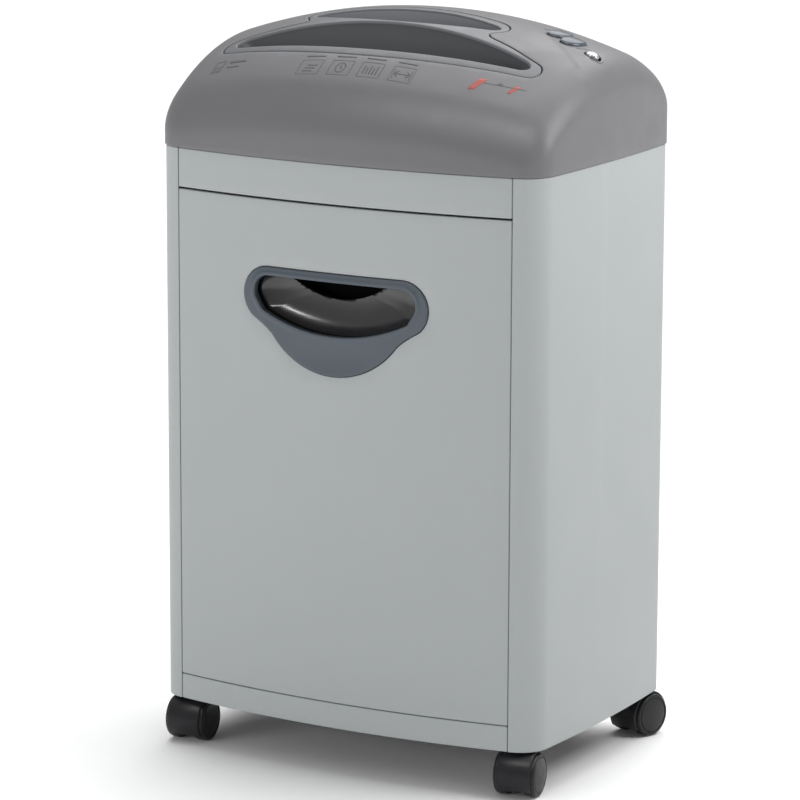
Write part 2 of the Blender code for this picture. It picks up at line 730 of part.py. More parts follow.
def make_motor_case(mat):
    low, high = MOTOR_X
    r = MOTOR_RADIUS
    profile = [(4.4, high), (12.0, high), (12.0, high - 4.0), (r - 4.0, high - 4.0), (r, high - 9.0)]
    profile += [(r, high - 26.0), (r - 2.0, high - 28.0), (r - 2.0, low + 24.0), (r, low + 22.0), (r, low + 5.0)]
    profile += [(r - 5.0, low), (0.0, low), (0.0, 102.0), (4.4, 102.0)]
    case = turned("motor_case", profile, 24, mat)
    return smooth(place(case, 0.0, *motor_centre(), ALONG_X))


def make_gear_guard(mat):
    outline = [(-46.0, 494.0), (64.0, 494.0), (64.0, 552.0), (-30.0, 552.0), (-46.0, 540.0)]
    low = GEAR_HIGH_X[1] + 2.6
    guard = flat("gear_guard", [outline], low, low + 2.0, mat, ALONG_X)
    for k, (y, z) in enumerate(((-41.0, 500.0), (-41.0, 534.0), (58.0, 500.0), (58.0, 546.0))):
        spacer = rod(f"guard_spacer_{k}", 3.0, CUTTER_X + PLATE + GAP, low + 1.0, 8)
        join(guard, place(spacer, 0.0, y, z, ALONG_X))
    return guard


# Cabinet

def make_side_panel(name, side, mat):
    """A panel that wraps from the front seam round both corners to the back seam."""
    start = SEAM_X + SEAM
    outer = plan_half(0.0, start, 2, rear_x=start)
    inner = plan_half(SKIN, start, 2, rear_x=start)
    outline = [(side * x, y) for x, y in outer + inner[::-1]]
    return smooth(flat(name, [outline], CABINET_BOTTOM, CABINET_TOP, mat))


def make_back_panel(mat):
    half = SEAM_X + SEAM - GAP
    low, high = (-half, HALF_DEPTH - SKIN, CABINET_BOTTOM), (half, HALF_DEPTH, CABINET_TOP)
    return box("back_panel", low, high, mat)


def front_skin(name, half, low, high, mat=None, outer=0.0, inner=SKIN, steps=12):
    """A bowed plate on the front curve, from Z low to high."""
    xs = [half * (2.0 * k / steps - 1.0) for k in range(steps + 1)]
    outline = [(x, front_y(x) + outer) for x in xs] + [(x, front_y(x) + inner) for x in reversed(xs)]
    return flat(name, [outline], low, high, mat)


def make_front_strips(mat):
    half = SEAM_X - SEAM
    strip = front_skin("front_strip", half, STRIP_BOTTOM, CABINET_TOP, mat)
    join(strip, box("strip_shelf", (-half + 2.0, -107.0, 484.0), (half - 2.0, -86.0, 487.0)))
    join(strip, front_skin("strip_shelf_lip", half - 2.0, 484.0, 487.0, None, 1.0, 16.0))
    plinth = front_skin("plinth_strip", half, CABINET_BOTTOM, PLINTH_TOP, mat)
    smooth(strip)
    smooth(plinth)


def make_cabinet_base(mat):
    outline = mirrored(plan_half(SKIN + 0.6))
    base = flat("cabinet_base", [outline], CABINET_BOTTOM + 0.6, CABINET_BOTTOM + 3.6, mat)
    for name, (x, y) in stem_points().items():
        boss = rod(name + "_boss", 9.0, CABINET_BOTTOM + 1.6, STEM_TOP + 3.0, 12)
        join(base, place(boss, x, y, 0.0))
    for name, (x, y) in stem_points().items():
        hole = rod(name + "_socket", STEM_RADIUS + GAP, 30.0, STEM_TOP + 0.5, 12)
        cut(base, place(hole, x, y, 0.0))
    return base


def make_runner(name, side, mat):
    low = CABINET_BOTTOM + 3.6 + GAP
    top = TUB_LOW - GAP
    outline = [(118.0, low), (132.0, low), (132.0, low + 1.6), (119.6, low + 1.6), (119.6, top - 1.6)]
    outline += [(138.0, top - 1.6), (138.0, top), (118.0, top)]
    return slab_y(name, [[(side * x, z) for x, z in outline]], -102.0, 112.0, mat)


def make_inlet(mat):
    """A three-pin appliance inlet: flange, open socket and earth and line pins."""
    inlet = box("power_inlet", (-124.0, 95.0, 501.0), (-96.0, 120.0, 523.0), mat)
    join(inlet, box("inlet_flange", (-129.0, HALF_DEPTH + HEAD_OVERHANG + GAP, 498.0), (-91.0, 123.0, 526.0)))
    join(inlet, box("inlet_neck", (-123.5, 118.0, 501.6), (-96.5, 122.0, 522.4)))
    cut(inlet, box("inlet_socket", (-122.0, 106.0, 503.7), (-98.0, 126.0, 520.3)))
    for k, (x, z) in enumerate(((-117.0, 509.5), (-103.0, 509.5), (-110.0, 514.5))):
        join(inlet, box(f"inlet_pin_{k}", (x - 1.0, 104.0, z - 2.0), (x + 1.0, 114.0, z + 2.0)))
    return inlet


def make_interlock(mat, button_mat):
    """A safety switch on the back panel; its plunger meets the closed bin."""
    wall = HALF_DEPTH - SKIN - GAP
    body = box("interlock_switch", (-10.0, 110.5, 398.0), (10.0, wall, 412.0), mat)
    cut(body, box("plunger_hole", (-3.0, 100.0, 402.0), (3.0, 116.0, 408.0)))
    plunger = box("interlock_plunger", (-2.6, 0.0, -2.6), (2.6, 8.2, 2.6), button_mat)
    place(plunger, 0.0, TUB_BACK + GAP, 405.0)


# Bin

def make_bin_front(mat):
    """The bin's bowed front with a return at each side that holds the tub."""
    half = SEAM_X - SEAM
    inner = half - SKIN
    steps = 14
    xs = [half * (2.0 * k / steps - 1.0) for k in range(steps + 1)]
    within = [inner * (1.0 - 2.0 * k / steps) for k in range(steps + 1)]
    outline = [(x, front_y(x)) for x in xs] + [(half, RETURN_BACK), (inner, RETURN_BACK)]
    outline += [(x, front_y(x) + SKIN) for x in within] + [(-inner, RETURN_BACK), (-half, RETURN_BACK)]
    front = flat("bin_front", [outline], PLINTH_TOP + 0.6, DOOR_TOP, mat)
    cut(front, slab_y("handle_hole", [grown(bezel_outline(), 0.4)], -130.0, -105.0))
    return smooth(front)


def make_bin_tub(mat):
    low, high = (-TUB_HALF, TUB_FRONT, TUB_LOW), (TUB_HALF, TUB_BACK, TUB_HIGH)
    tub = box("bin_tub", low, high, mat, 6.0)
    w = TUB_WALL
    inside = (-TUB_HALF + w, TUB_FRONT + w, TUB_LOW + w), (TUB_HALF - w, TUB_BACK - w, TUB_HIGH + 30.0)
    cut(tub, box("tub_hollow", *inside, None, 4.0))
    cut(tub, box("tub_rim", (-160.0, -100.0, TUB_HIGH - 7.0), (160.0, 120.0, TUB_HIGH + 40.0)))
    return tub


def make_handle(bezel_mat, bowl_mat):
    bezel = front_skin("handle_bezel", 95.0, 310.0, 415.0, bezel_mat, -BEZEL_PROUD, SKIN)
    combine(bezel, slab_y("bezel_blank", [bezel_outline()], -140.0, -100.0), "INTERSECT")
    cut(bezel, slab_y("bezel_mouth", [mouth_outline()], -145.0, -95.0))
    smooth(bezel)

    bowl = slab_y("handle_bowl", [grown(mouth_outline(), 3.0)], -125.0, BOWL_BACK, bowl_mat)
    join(bowl, box("pocket_block", (-40.0, -115.4, 376.0), (40.0, -89.0, 408.0)))
    cut(bowl, front_skin("bowl_face", 100.0, 300.0, 420.0, None, -40.0, SKIN + GAP))
    mouth = mouth_outline()
    rings = []
    for y, share in ((-140.0, 1.0), (-112.0, 1.0), (-100.0, 0.93), (-92.0, 0.8), (-87.5, 0.55)):
        rings.append([(x * share, y, 379.0 + (z - 379.0) * share) for x, z in mouth])
    cut(bowl, loft("bowl_hollow", rings))
    cut(bowl, box("pocket_hollow", (-37.0, -114.0, 380.0), (37.0, -92.0, 405.0)))
    return smooth(bowl)


# Casters

def stem_points():
    points = {}
    for end, y in STEM_Y.items():
        points[end + "_left"] = (-STEM_X, y)
        points[end + "_right"] = (STEM_X, y)
    return points


def hood_outline():
    """A shroud over the wheels, open below, in the plane across the axle."""
    return arc(0.0, 0.0, HOOD_RADIUS, -38.0, 218.0, 16) + arc(0.0, 0.0, HOOD_RADIUS - HOOD_WALL, 218.0, -38.0, 16)


def make_caster(name, mat, wheel_mat):
    """Hood, stem and axle in one, with a wheel on each side; the wheels trail the stem."""
    x, y = stem_points()[name]
    outwards = math.pi if y > 0.0 else 0.0
    swivel = Matrix.Translation(Vector((x, y, 0.0)) * MM) @ Matrix.Rotation(YAW[name] + outwards, 4, "Z")
    axle = swivel @ Matrix.Translation(Vector((0.0, -TRAIL, AXLE_Z)) * MM)
    centre = Matrix.Translation(Vector((0.0, -TRAIL, AXLE_Z)) * MM) @ ALONG_X

    hood = flat("caster_hood_" + name, [hood_outline()], -HOOD_HALF, HOOD_HALF, mat, centre)
    web = [(r * math.cos(t), r * math.sin(t)) for r, t in
           [(HOOD_RADIUS - 0.6, math.radians(-30.0 + 15.0 * k)) for k in range(17)]]
    join(hood, flat(name + "_web", [web], -WHEEL_IN + 0.6, WHEEL_IN - 0.6, None, centre))
    join(hood, flat(name + "_axle", [circle(0.0, 0.0, 2.5, 10)], -14.2, 14.2, None, centre))
    join(hood, rod(name + "_collar", COLLAR_RADIUS, 22.0, CABINET_BOTTOM + 0.2, 12))
    join(hood, rod(name + "_stem", STEM_RADIUS, 30.0, STEM_TOP, 12))
    hood.matrix_world = swivel
    for tool in (step.object for step in hood.modifiers):
        tool.matrix_world = swivel

    r = WHEEL_RADIUS
    profile = [(0.0, WHEEL_OUT), (r - 4.4, WHEEL_OUT), (r - 3.6, WHEEL_OUT - 0.9), (r - 0.9, WHEEL_OUT - 0.9)]
    profile += [(r, WHEEL_OUT - 2.0), (r, WHEEL_IN + 1.0), (r - 1.0, WHEEL_IN)]
    profile += [(2.9, WHEEL_IN), (2.9, 14.7), (0.0, 14.7)]
    half_side = math.pi / WHEEL_SIDES
    for label, turn in (("right", Matrix()), ("left", Matrix.Rotation(math.pi, 4, "Z"))):
        wheel = turned(f"caster_wheel_{name}_{label}", profile, WHEEL_SIDES, wheel_mat, half_side)
        wheel.matrix_world = axle @ turn @ ALONG_X
        smooth(wheel)


def centre_footprint():
    shift = Matrix.Translation((0.0, SHIFT_Y * MM, 0.0))
    for thing in list(parts.objects) + list(cutters.objects):
        thing.matrix_world = shift @ thing.matrix_world


def build():
    clear_scene()
    grey = material("head_plastic", (0.24, 0.23, 0.24), 0.42)
    insert = material("insert_plastic", (0.21, 0.22, 0.23), 0.4)
    paint = material("cabinet_paint", (0.38, 0.41, 0.40), 0.45)
    blue = material("blue_grey_plastic", (0.12, 0.15, 0.18), 0.35)
    black = material("black_plastic", (0.02, 0.02, 0.022), 0.35)
    gloss = material("gloss_black", (0.03, 0.03, 0.03), 0.12)
    clear = material("clear_lens", (0.75, 0.77, 0.78), 0.08)
    steel = material("steel", (0.55, 0.55, 0.56), 0.3, 1.0)
    zinc = material("zinc_plate", (0.62, 0.63, 0.64), 0.4, 1.0)
    nylon = material("nylon", (0.78, 0.76, 0.7), 0.5)
    board = material("circuit_board", (0.05, 0.22, 0.1), 0.5)

    make_head_cover(grey)
    make_throat_insert(insert)
    make_head_base(grey)
    make_button("forward_button", FORWARD_LEAF, blue)
    make_button("reverse_button", REVERSE_LEAF, blue)
    make_lamp(clear)
    make_control_board(board)
    make_power_board(board)
    make_capacitor(nylon)
    make_sensors(black)

    make_cutter_plate("left_cutter_plate", -1, 10.0, zinc)
    make_cutter_plate("right_cutter_plate", 1, 72.0, zinc)
    make_cutter_shaft("front_cutter_shaft", SHAFT_FRONT_Y, -1, (-130.3, 122.0), steel)
    make_cutter_shaft("rear_cutter_shaft", SHAFT_REAR_Y, 1, (-130.3, 130.2), steel)
    make_bearing_block("left_bearing_block", -1, nylon)
    make_bearing_block("right_bearing_block", 1, nylon)
    make_comb("front_comb", -1, -1, black)
    make_comb("rear_comb", 1, 1, black)
    make_tie_rods(steel)
    make_feed_guides(zinc)

    make_gears(steel, nylon)
    make_motor_case(zinc)
    make_gear_guard(zinc)

    make_side_panel("left_panel", -1, paint)
    make_side_panel("right_panel", 1, paint)
    make_back_panel(paint)
    make_front_strips(paint)
    make_cabinet_base(black)
    make_runner("left_runner", -1, zinc)
    make_runner("right_runner", 1, zinc)
    make_inlet(black)
    make_interlock(black, nylon)

    make_bin_front(paint)
    make_bin_tub(black)
    make_handle(blue, gloss)
    for name in stem_points():
        make_caster(name, black, black)
    centre_footprint()


build()
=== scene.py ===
"""Paper and disc shredder: finished shells, controls, casters and finishes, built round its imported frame.

Shapes are in millimetres in the cabinet's own plan: X to the right, front facing -Y, Z up from the floor.
"""

import json
import math

import bmesh
import bpy
import numpy as np
from bpy.props import FloatProperty, FloatVectorProperty, IntProperty, PointerProperty
from mathutils import Matrix, Vector
from mathutils.geometry import delaunay_2d_cdt


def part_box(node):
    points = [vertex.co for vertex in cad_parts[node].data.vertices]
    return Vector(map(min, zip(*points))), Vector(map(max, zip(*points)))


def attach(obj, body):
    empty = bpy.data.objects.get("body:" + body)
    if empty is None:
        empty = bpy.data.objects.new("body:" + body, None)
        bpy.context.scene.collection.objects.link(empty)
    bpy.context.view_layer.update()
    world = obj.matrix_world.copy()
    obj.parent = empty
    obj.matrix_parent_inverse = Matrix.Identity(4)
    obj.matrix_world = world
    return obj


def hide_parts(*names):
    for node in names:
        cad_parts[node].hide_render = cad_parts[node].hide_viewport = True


bl_info = {
    "name": "Paper Shredder Shells and Finishes",
    "version": (1, 0, 0),
    "blender": (4, 5, 0),
    "location": "3D View > Sidebar > Shredder",
    "description": "Builds the visible shells, controls and finishes of a paper shredder round its frame",
    "category": "Object",
}

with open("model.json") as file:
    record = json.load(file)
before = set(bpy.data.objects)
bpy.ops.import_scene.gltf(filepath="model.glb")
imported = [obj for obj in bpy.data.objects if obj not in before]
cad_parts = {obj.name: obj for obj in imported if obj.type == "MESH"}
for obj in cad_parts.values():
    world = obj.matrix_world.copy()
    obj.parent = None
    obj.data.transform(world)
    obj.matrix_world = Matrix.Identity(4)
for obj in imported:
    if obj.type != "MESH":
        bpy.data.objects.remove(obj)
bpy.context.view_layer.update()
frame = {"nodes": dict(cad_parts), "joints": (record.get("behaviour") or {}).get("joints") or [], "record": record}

MM = 0.001

# The frame's own measures
HEAD_LOW, HEAD_HIGH = (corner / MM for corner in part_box("head_cover"))
PANEL_LOW, PANEL_HIGH = (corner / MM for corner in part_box("right_panel"))
DOOR_LOW, DOOR_HIGH = (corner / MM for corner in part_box("bin_front"))
STRIP_LOW, STRIP_HIGH = (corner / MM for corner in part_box("front_strip"))
PLINTH_LOW, PLINTH_HIGH = (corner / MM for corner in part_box("plinth_strip"))
BACK_LOW, BACK_HIGH = (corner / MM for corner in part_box("back_panel"))
TUB_LOW, TUB_HIGH = (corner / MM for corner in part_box("bin_tub"))

# Cabinet plan: a box whose front and sides bow outwards
HEAD_OVERHANG = 1.0
HALF_WIDTH = HEAD_HIGH.x - HEAD_OVERHANG
HALF_DEPTH = 120.0
MID_Y = BACK_HIGH.y - HALF_DEPTH
SIDE_BOW = 0.00033
FRONT_BOW = 0.00059
FRONT_CORNER = 24.7
REAR_CORNER = 13.3
SEAM_X = PANEL_LOW.x
DOOR_HALF = DOOR_HIGH.x

# Head
HEAD_BOTTOM = HEAD_LOW.z
CROWN_Z = HEAD_HIGH.z
CROWN_Y = 21.5
DOME_REACH = (176.0, 120.0)
SIDE_DROP, SIDE_POWER = 32.5, 2.06
END_DROP, END_POWER = 43.9, 2.19
HEAD_FILLET = 22.7
FILLET_STEPS = 12
TRUE_OFFSET = 11.0
SKIRT_LEAST = 1.6
HEM_RISE = 1.2
INLET_WINDOW = (29.4, 20.0, 23.4)
CREASE_START = Vector((80.0, 37.0))
CREASE_END = Vector((169.0, -26.0))
CREASE_BEAD = (0.6, 1.3)
CREASE_FALL = (1.3, 3.5, 55.0)

# Throats: plan edges as y = offset + bow * x * x
INSERT_FRONT = (-74.0, 0.00089)
INSERT_REAR = (-15.4, -0.00136)
INSERT_BACK = (20.5, -0.0016)
INSERT_SINK = 0.3
INSERT_GAP = 0.8
INSERT_WALL = 1.6
FUNNEL_FOOT = 552.0
FUNNEL_STEPS = 12
FUNNEL_EASE = 1.12
SLOT_TOP, SLOT_END = 549.5, 545.0
PAPER = {"y": -46.7, "half": 131.5, "middle": 19.6, "bow": 0.00087, "slot": (111.0, 3.0)}
DISC = {"y": -5.4, "half": 83.0, "middle": 17.6, "bow": 0.00195, "slot": (63.0, 2.6)}

# Controls, in plan
LEAF_LENGTH, LEAF_WIDTH = 24.0, 13.6
LEAF_SKEW = 0.3
LEAF_FALL, LEAF_TILT = 0.42, 0.9
LEAF_STEM = 2.2
LEAVES = {
    "forward_button": (119.0, 27.3, math.radians(58.0)),
    "reverse_button": (133.8, 21.0, math.radians(58.0)),
}
LAMP = (155.5, 12.0)
LAMP_RADIUS = 6.0
CUP_PROFILE = [(0.0, -0.9), (0.9, -0.9), (1.1, -1.7), (1.6, -1.6), (4.0, -0.6), (4.9, -0.5)]
CUP_PROFILE += [(5.3, -1.2), (5.3, -4.6), (0.0, -4.6)]
LEAF_GAP = 0.3
LAMP_GAP = 0.6

# Casters: outlines of round parts are (radius, distance along the axis)
AXLE_Z = 17.5
HOOD_RADIUS = 19.5
HOOD_HALF = 14.0
HOOD_START, HOOD_SWEEP, HOOD_STEPS = -34.0, 248.0, 44
WEB_PROFILE = [(0.0, 5.6), (9.6, 5.6), (10.6, 4.8), (10.6, -4.8), (9.6, -5.6), (0.0, -5.6)]
AXLE_PROFILE = [(0.0, 14.4), (2.4, 14.4), (2.4, -14.4), (0.0, -14.4)]
STEM_PROFILE = [(4.0, 37.6), (8.2, 37.4), (8.2, 34.4), (6.6, 33.0), (6.6, 24.0), (0.0, 24.0)]
WHEEL_PROFILE = [(0.0, 17.9), (6.0, 17.75), (11.0, 17.3), (13.6, 16.9), (14.0, 16.3), (14.6, 16.3)]
WHEEL_PROFILE += [(15.0, 16.9), (15.8, 16.9), (16.6, 16.5), (17.2, 15.7), (AXLE_Z, 14.6), (AXLE_Z, 8.2)]
WHEEL_PROFILE += [(17.1, 7.2), (16.2, 6.7), (13.0, 6.7), (12.0, 8.4), (6.0, 8.4), (5.2, 6.7), (2.8, 6.7)]
WHEEL_PROFILE += [(2.8, 14.8), (0.0, 14.8)]

# Cutters
CUTTER_RADIUS = 17.8
CUTTER_COUNT = 12
CUTTER_PITCH = 18.0
CUTTER_HALF = 1.75
TOOTH = ((0.0, 0.0), (0.08, 0.2), (0.16, 2.6), (0.4, 1.9), (0.62, 1.3), (0.82, 0.7))


class ShredderSizes(bpy.types.PropertyGroup):
    """Sizes of the shells that a user may change."""

    wall: FloatProperty(
        name="Shell wall", description="Wall of the moulded shells", default=2.4 * MM, unit="LENGTH"
    )
    seam_roll: FloatProperty(
        name="Seam roll", description="Radius where a panel's face turns into its edge", default=0.9 * MM,
        unit="LENGTH",
    )
    rim_roll: FloatProperty(
        name="Throat rim", description="Radius of the throats' rims", default=1.8 * MM, unit="LENGTH"
    )
    mesh_step: FloatProperty(
        name="Mesh step", description="Distance between points on the domed shells", default=4.5 * MM,
        unit="LENGTH",
    )
    leaf_height: FloatProperty(
        name="Button height", description="How far a leaf button stands above the dome", default=3.1 * MM,
        unit="LENGTH",
    )
    ink: FloatProperty(
        name="Ink thickness", description="Thickness of the printed marks", default=0.06 * MM, unit="LENGTH"
    )
    cutter_teeth: IntProperty(name="Cutter teeth", description="Hooked teeth on a cutting disc", default=9)


class ShredderColours(bpy.types.PropertyGroup):
    """Colours of the finishes."""

    head: FloatVectorProperty(
        name="Head", description="Moulded head cover", subtype="COLOR", default=(0.134, 0.1315, 0.1395)
    )
    insert: FloatVectorProperty(
        name="Throat insert", description="Moulded throat insert", subtype="COLOR",
        default=(0.116, 0.121, 0.130),
    )
    cabinet: FloatVectorProperty(
        name="Cabinet", description="Powder-coated panels", subtype="COLOR", default=(0.338, 0.358, 0.362)
    )
    handle: FloatVectorProperty(
        name="Handle", description="Blue-grey handle frame and buttons", subtype="COLOR",
        default=(0.062, 0.076, 0.093),
    )
    bowl: FloatVectorProperty(
        name="Handle bowl", description="Glossy bowl behind the handle", subtype="COLOR",
        default=(0.030, 0.030, 0.032),
    )
    caster: FloatVectorProperty(
        name="Casters", description="Black nylon of the casters", subtype="COLOR",
        default=(0.007, 0.007, 0.008),
    )
    ink: FloatVectorProperty(
        name="Ink", description="Printed marks", subtype="COLOR", default=(0.085, 0.088, 0.094)
    )
    marker: FloatVectorProperty(
        name="Marker", description="Red width marks", subtype="COLOR", default=(0.37, 0.08, 0.062)
    )


def sizes():
    return bpy.context.scene.shredder_sizes


def colours():
    return bpy.context.scene.shredder_colours


# Materials

class Finish:
    """A material under construction: one Principled shader and short calls that add its detail."""

    def __init__(self, name, colour, roughness, **constants):
        self.material = bpy.data.materials.new(name)
        self.material.use_nodes = True
        self.tree = self.material.node_tree
        self.shader = self.tree.nodes["Principled BSDF"]
        self.colour = (*colour, 1.0)
        self.shader.inputs["Base Color"].default_value = self.colour
        self.shader.inputs["Roughness"].default_value = roughness
        for socket, value in constants.items():
            self.shader.inputs[socket.replace("_", " ")].default_value = value
        self.place = self.node("ShaderNodeTexCoord").outputs["Object"]
        self.normal = None

    def node(self, kind, **values):
        made = self.tree.nodes.new(kind)
        for key, value in values.items():
            setattr(made, key, value)
        return made

    def link(self, start, end):
        self.tree.links.new(start, end)

    def noise(self, scale, detail=3.0, rough=0.5, stretch=None):
        """Noise whose scale counts features in a metre."""
        made = self.node("ShaderNodeTexNoise")
        made.inputs["Scale"].default_value = scale
        made.inputs["Detail"].default_value = detail
        made.inputs["Roughness"].default_value = rough
        source = self.place
        if stretch:
            mapping = self.node("ShaderNodeMapping")
            mapping.inputs["Scale"].default_value = stretch
            self.link(source, mapping.inputs["Vector"])
            source = mapping.outputs["Vector"]
        self.link(source, made.inputs["Vector"])
        return made.outputs["Fac"]

    def ranged(self, source, low, high, start=0.0, end=1.0):
        made = self.node("ShaderNodeMapRange")
        made.inputs["From Min"].default_value = low
        made.inputs["From Max"].default_value = high
        made.inputs["To Min"].default_value = start
        made.inputs["To Max"].default_value = end
        self.link(source, made.inputs["Value"])
        return made.outputs["Result"]

    def rough(self, source, low, high):
        self.link(self.ranged(source, 0.3, 0.7, low, high), self.shader.inputs["Roughness"])
        return self

    def bump(self, source, distance, strength=1.0):
        """Raises the surface by a distance in millimetres where the source is 1."""
        made = self.node("ShaderNodeBump")
        made.inputs["Distance"].default_value = distance * MM
        made.inputs["Strength"].default_value = strength
        self.link(source, made.inputs["Height"])
        if self.normal:
            self.link(self.normal, made.inputs["Normal"])
        self.normal = made.outputs["Normal"]
        self.link(self.normal, self.shader.inputs["Normal"])
        return self

    def tint(self, source, other, share):
        """Mixes another colour in where the source is high, up to a share."""
        made = self.node("ShaderNodeMix", data_type="RGBA")
        made.inputs["B"].default_value = (*other, 1.0)
        socket = self.shader.inputs["Base Color"]
        if socket.is_linked:
            self.link(socket.links[0].from_socket, made.inputs["A"])
        else:
            made.inputs["A"].default_value = self.colour
        self.link(self.ranged(source, 0.0, 1.0, 0.0, share), made.inputs["Factor"])
        self.link(made.outputs["Result"], socket)
        return self

    def worn_edges(self, colour, share=0.5):
        """A paler rub along the convex edges."""
        edge = self.node("ShaderNodeNewGeometry").outputs["Pointiness"]
        self.tint(self.ranged(edge, 0.515, 0.56), colour, share)
        return self


def shade(colour, factor):
    return tuple(min(1.0, channel * factor) for channel in colour)


def moulded_plastic(name, colour, roughness=0.42, gloss=0.45):
    """Fine spark-eroded texture, with slow drifts of gloss."""
    finish = Finish(name, colour, roughness, Specular_IOR_Level=gloss)
    finish.rough(finish.noise(38.0, 4.0), roughness - 0.05, roughness + 0.06)
    finish.tint(finish.noise(9.0, 2.0), shade(colour, 1.06), 0.5)
    finish.worn_edges(shade(colour, 1.25), 0.45)
    finish.bump(finish.noise(2600.0, 2.0), 0.028)
    return finish.material


def powder_coat(name, colour):
    """Satin paint on sheet steel: soft orange peel, fine speckle and a rub at the folds."""
    finish = Finish(name, colour, 0.44, Specular_IOR_Level=0.42)
    finish.rough(finish.noise(22.0, 3.0), 0.40, 0.50)
    finish.tint(finish.noise(5.0, 2.0), shade(colour, 1.04), 0.6)
    finish.tint(finish.noise(1900.0, 1.0), shade(colour, 0.93), 0.25)
    finish.worn_edges(shade(colour, 1.18), 0.15)
    finish.bump(finish.noise(420.0, 2.0), 0.016)
    finish.bump(finish.noise(2400.0, 1.0), 0.010)
    return finish.material


def gloss_plastic(name, colour, roughness=0.18):
    """Polished plastic with faint smears and a trace of moulding ripple."""
    finish = Finish(name, colour, roughness, Specular_IOR_Level=0.7)
    finish.rough(finish.noise(60.0, 4.0), roughness, roughness + 0.08)
    finish.tint(finish.noise(14.0, 2.0), shade(colour, 1.3), 0.4)
    finish.bump(finish.noise(34.0, 1.0), 0.03)
    return finish.material


def caster_nylon(name, colour):
    """Dark nylon with dust in its texture and scuffs."""
    finish = Finish(name, colour, 0.34, Specular_IOR_Level=0.28)
    finish.rough(finish.noise(90.0, 5.0), 0.28, 0.44)
    finish.tint(finish.ranged(finish.noise(160.0, 5.0, 0.7), 0.55, 0.8), shade(colour, 2.2), 0.35)
    finish.worn_edges(shade(colour, 3.5), 0.5)
    finish.bump(finish.noise(1500.0, 2.0), 0.02)
    return finish.material


def clear_plastic(name):
    finish = Finish(
        name, (0.24, 0.245, 0.26), 0.1, Transmission_Weight=0.35, IOR=1.49, Specular_IOR_Level=0.6,
    )
    finish.rough(finish.noise(120.0, 3.0), 0.08, 0.14)
    finish.bump(finish.noise(50.0, 1.0), 0.01)
    return finish.material


def bright_metal(name, colour, roughness, stretch=(1.0, 40.0, 40.0), grain=60.0):
    """Worked metal with its grain along X unless stretched otherwise."""
    finish = Finish(name, colour, roughness, Metallic=1.0)
    lines = finish.noise(grain, 4.0, 0.6, stretch)
    finish.rough(lines, roughness - 0.06, roughness + 0.12)
    finish.tint(finish.noise(30.0, 3.0), shade(colour, 0.8), 0.35)
    finish.bump(lines, 0.012)
    return finish.material


def zinc_sheet(name):
    """Galvanised sheet with a faint spangle."""
    colour = (0.50, 0.51, 0.53)
    finish = Finish(name, colour, 0.36, Metallic=0.9)
    cells = finish.node("ShaderNodeTexVoronoi")
    cells.inputs["Scale"].default_value = 130.0
    finish.link(finish.place, cells.inputs["Vector"])
    finish.tint(cells.outputs["Distance"], shade(colour, 0.72), 0.8)
    finish.rough(finish.noise(150.0, 3.0), 0.28, 0.46)
    finish.bump(finish.noise(300.0, 2.0), 0.01)
    return finish.material


def natural_nylon(name):
    colour = (0.72, 0.69, 0.60)
    finish = Finish(name, colour, 0.4, Subsurface_Weight=0.08, Subsurface_Radius=(0.004, 0.003, 0.002))
    finish.rough(finish.noise(80.0, 3.0), 0.34, 0.5)
    finish.tint(finish.noise(25.0, 3.0), shade(colour, 0.88), 0.5)
    finish.bump(finish.noise(700.0, 2.0), 0.015)
    return finish.material


def circuit_board(name):
    """Green solder mask with darker tracks under it."""
    colour = (0.02, 0.13, 0.05)
    finish = Finish(name, colour, 0.3, Coat_Weight=0.3, Coat_Roughness=0.15)
    tracks = finish.node("ShaderNodeTexBrick")
    tracks.inputs["Scale"].default_value = 260.0
    tracks.inputs["Mortar Size"].default_value = 0.03
    finish.link(finish.place, tracks.inputs["Vector"])
    finish.tint(tracks.outputs["Fac"], (0.05, 0.24, 0.10), 0.8)
    finish.tint(finish.noise(40.0, 3.0), shade(colour, 0.7), 0.4)
    finish.bump(tracks.outputs["Fac"], 0.03)
    return finish.material


def printed_ink(name, colour):
    finish = Finish(name, colour, 0.5, Specular_IOR_Level=0.3)
    finish.rough(finish.noise(400.0, 3.0), 0.45, 0.6)
    finish.tint(finish.ranged(finish.noise(1600.0, 4.0, 0.7), 0.5, 0.75), shade(colour, 1.7), 0.5)
    finish.bump(finish.noise(2200.0, 2.0), 0.01)
    return finish.material


FINISHES = {}


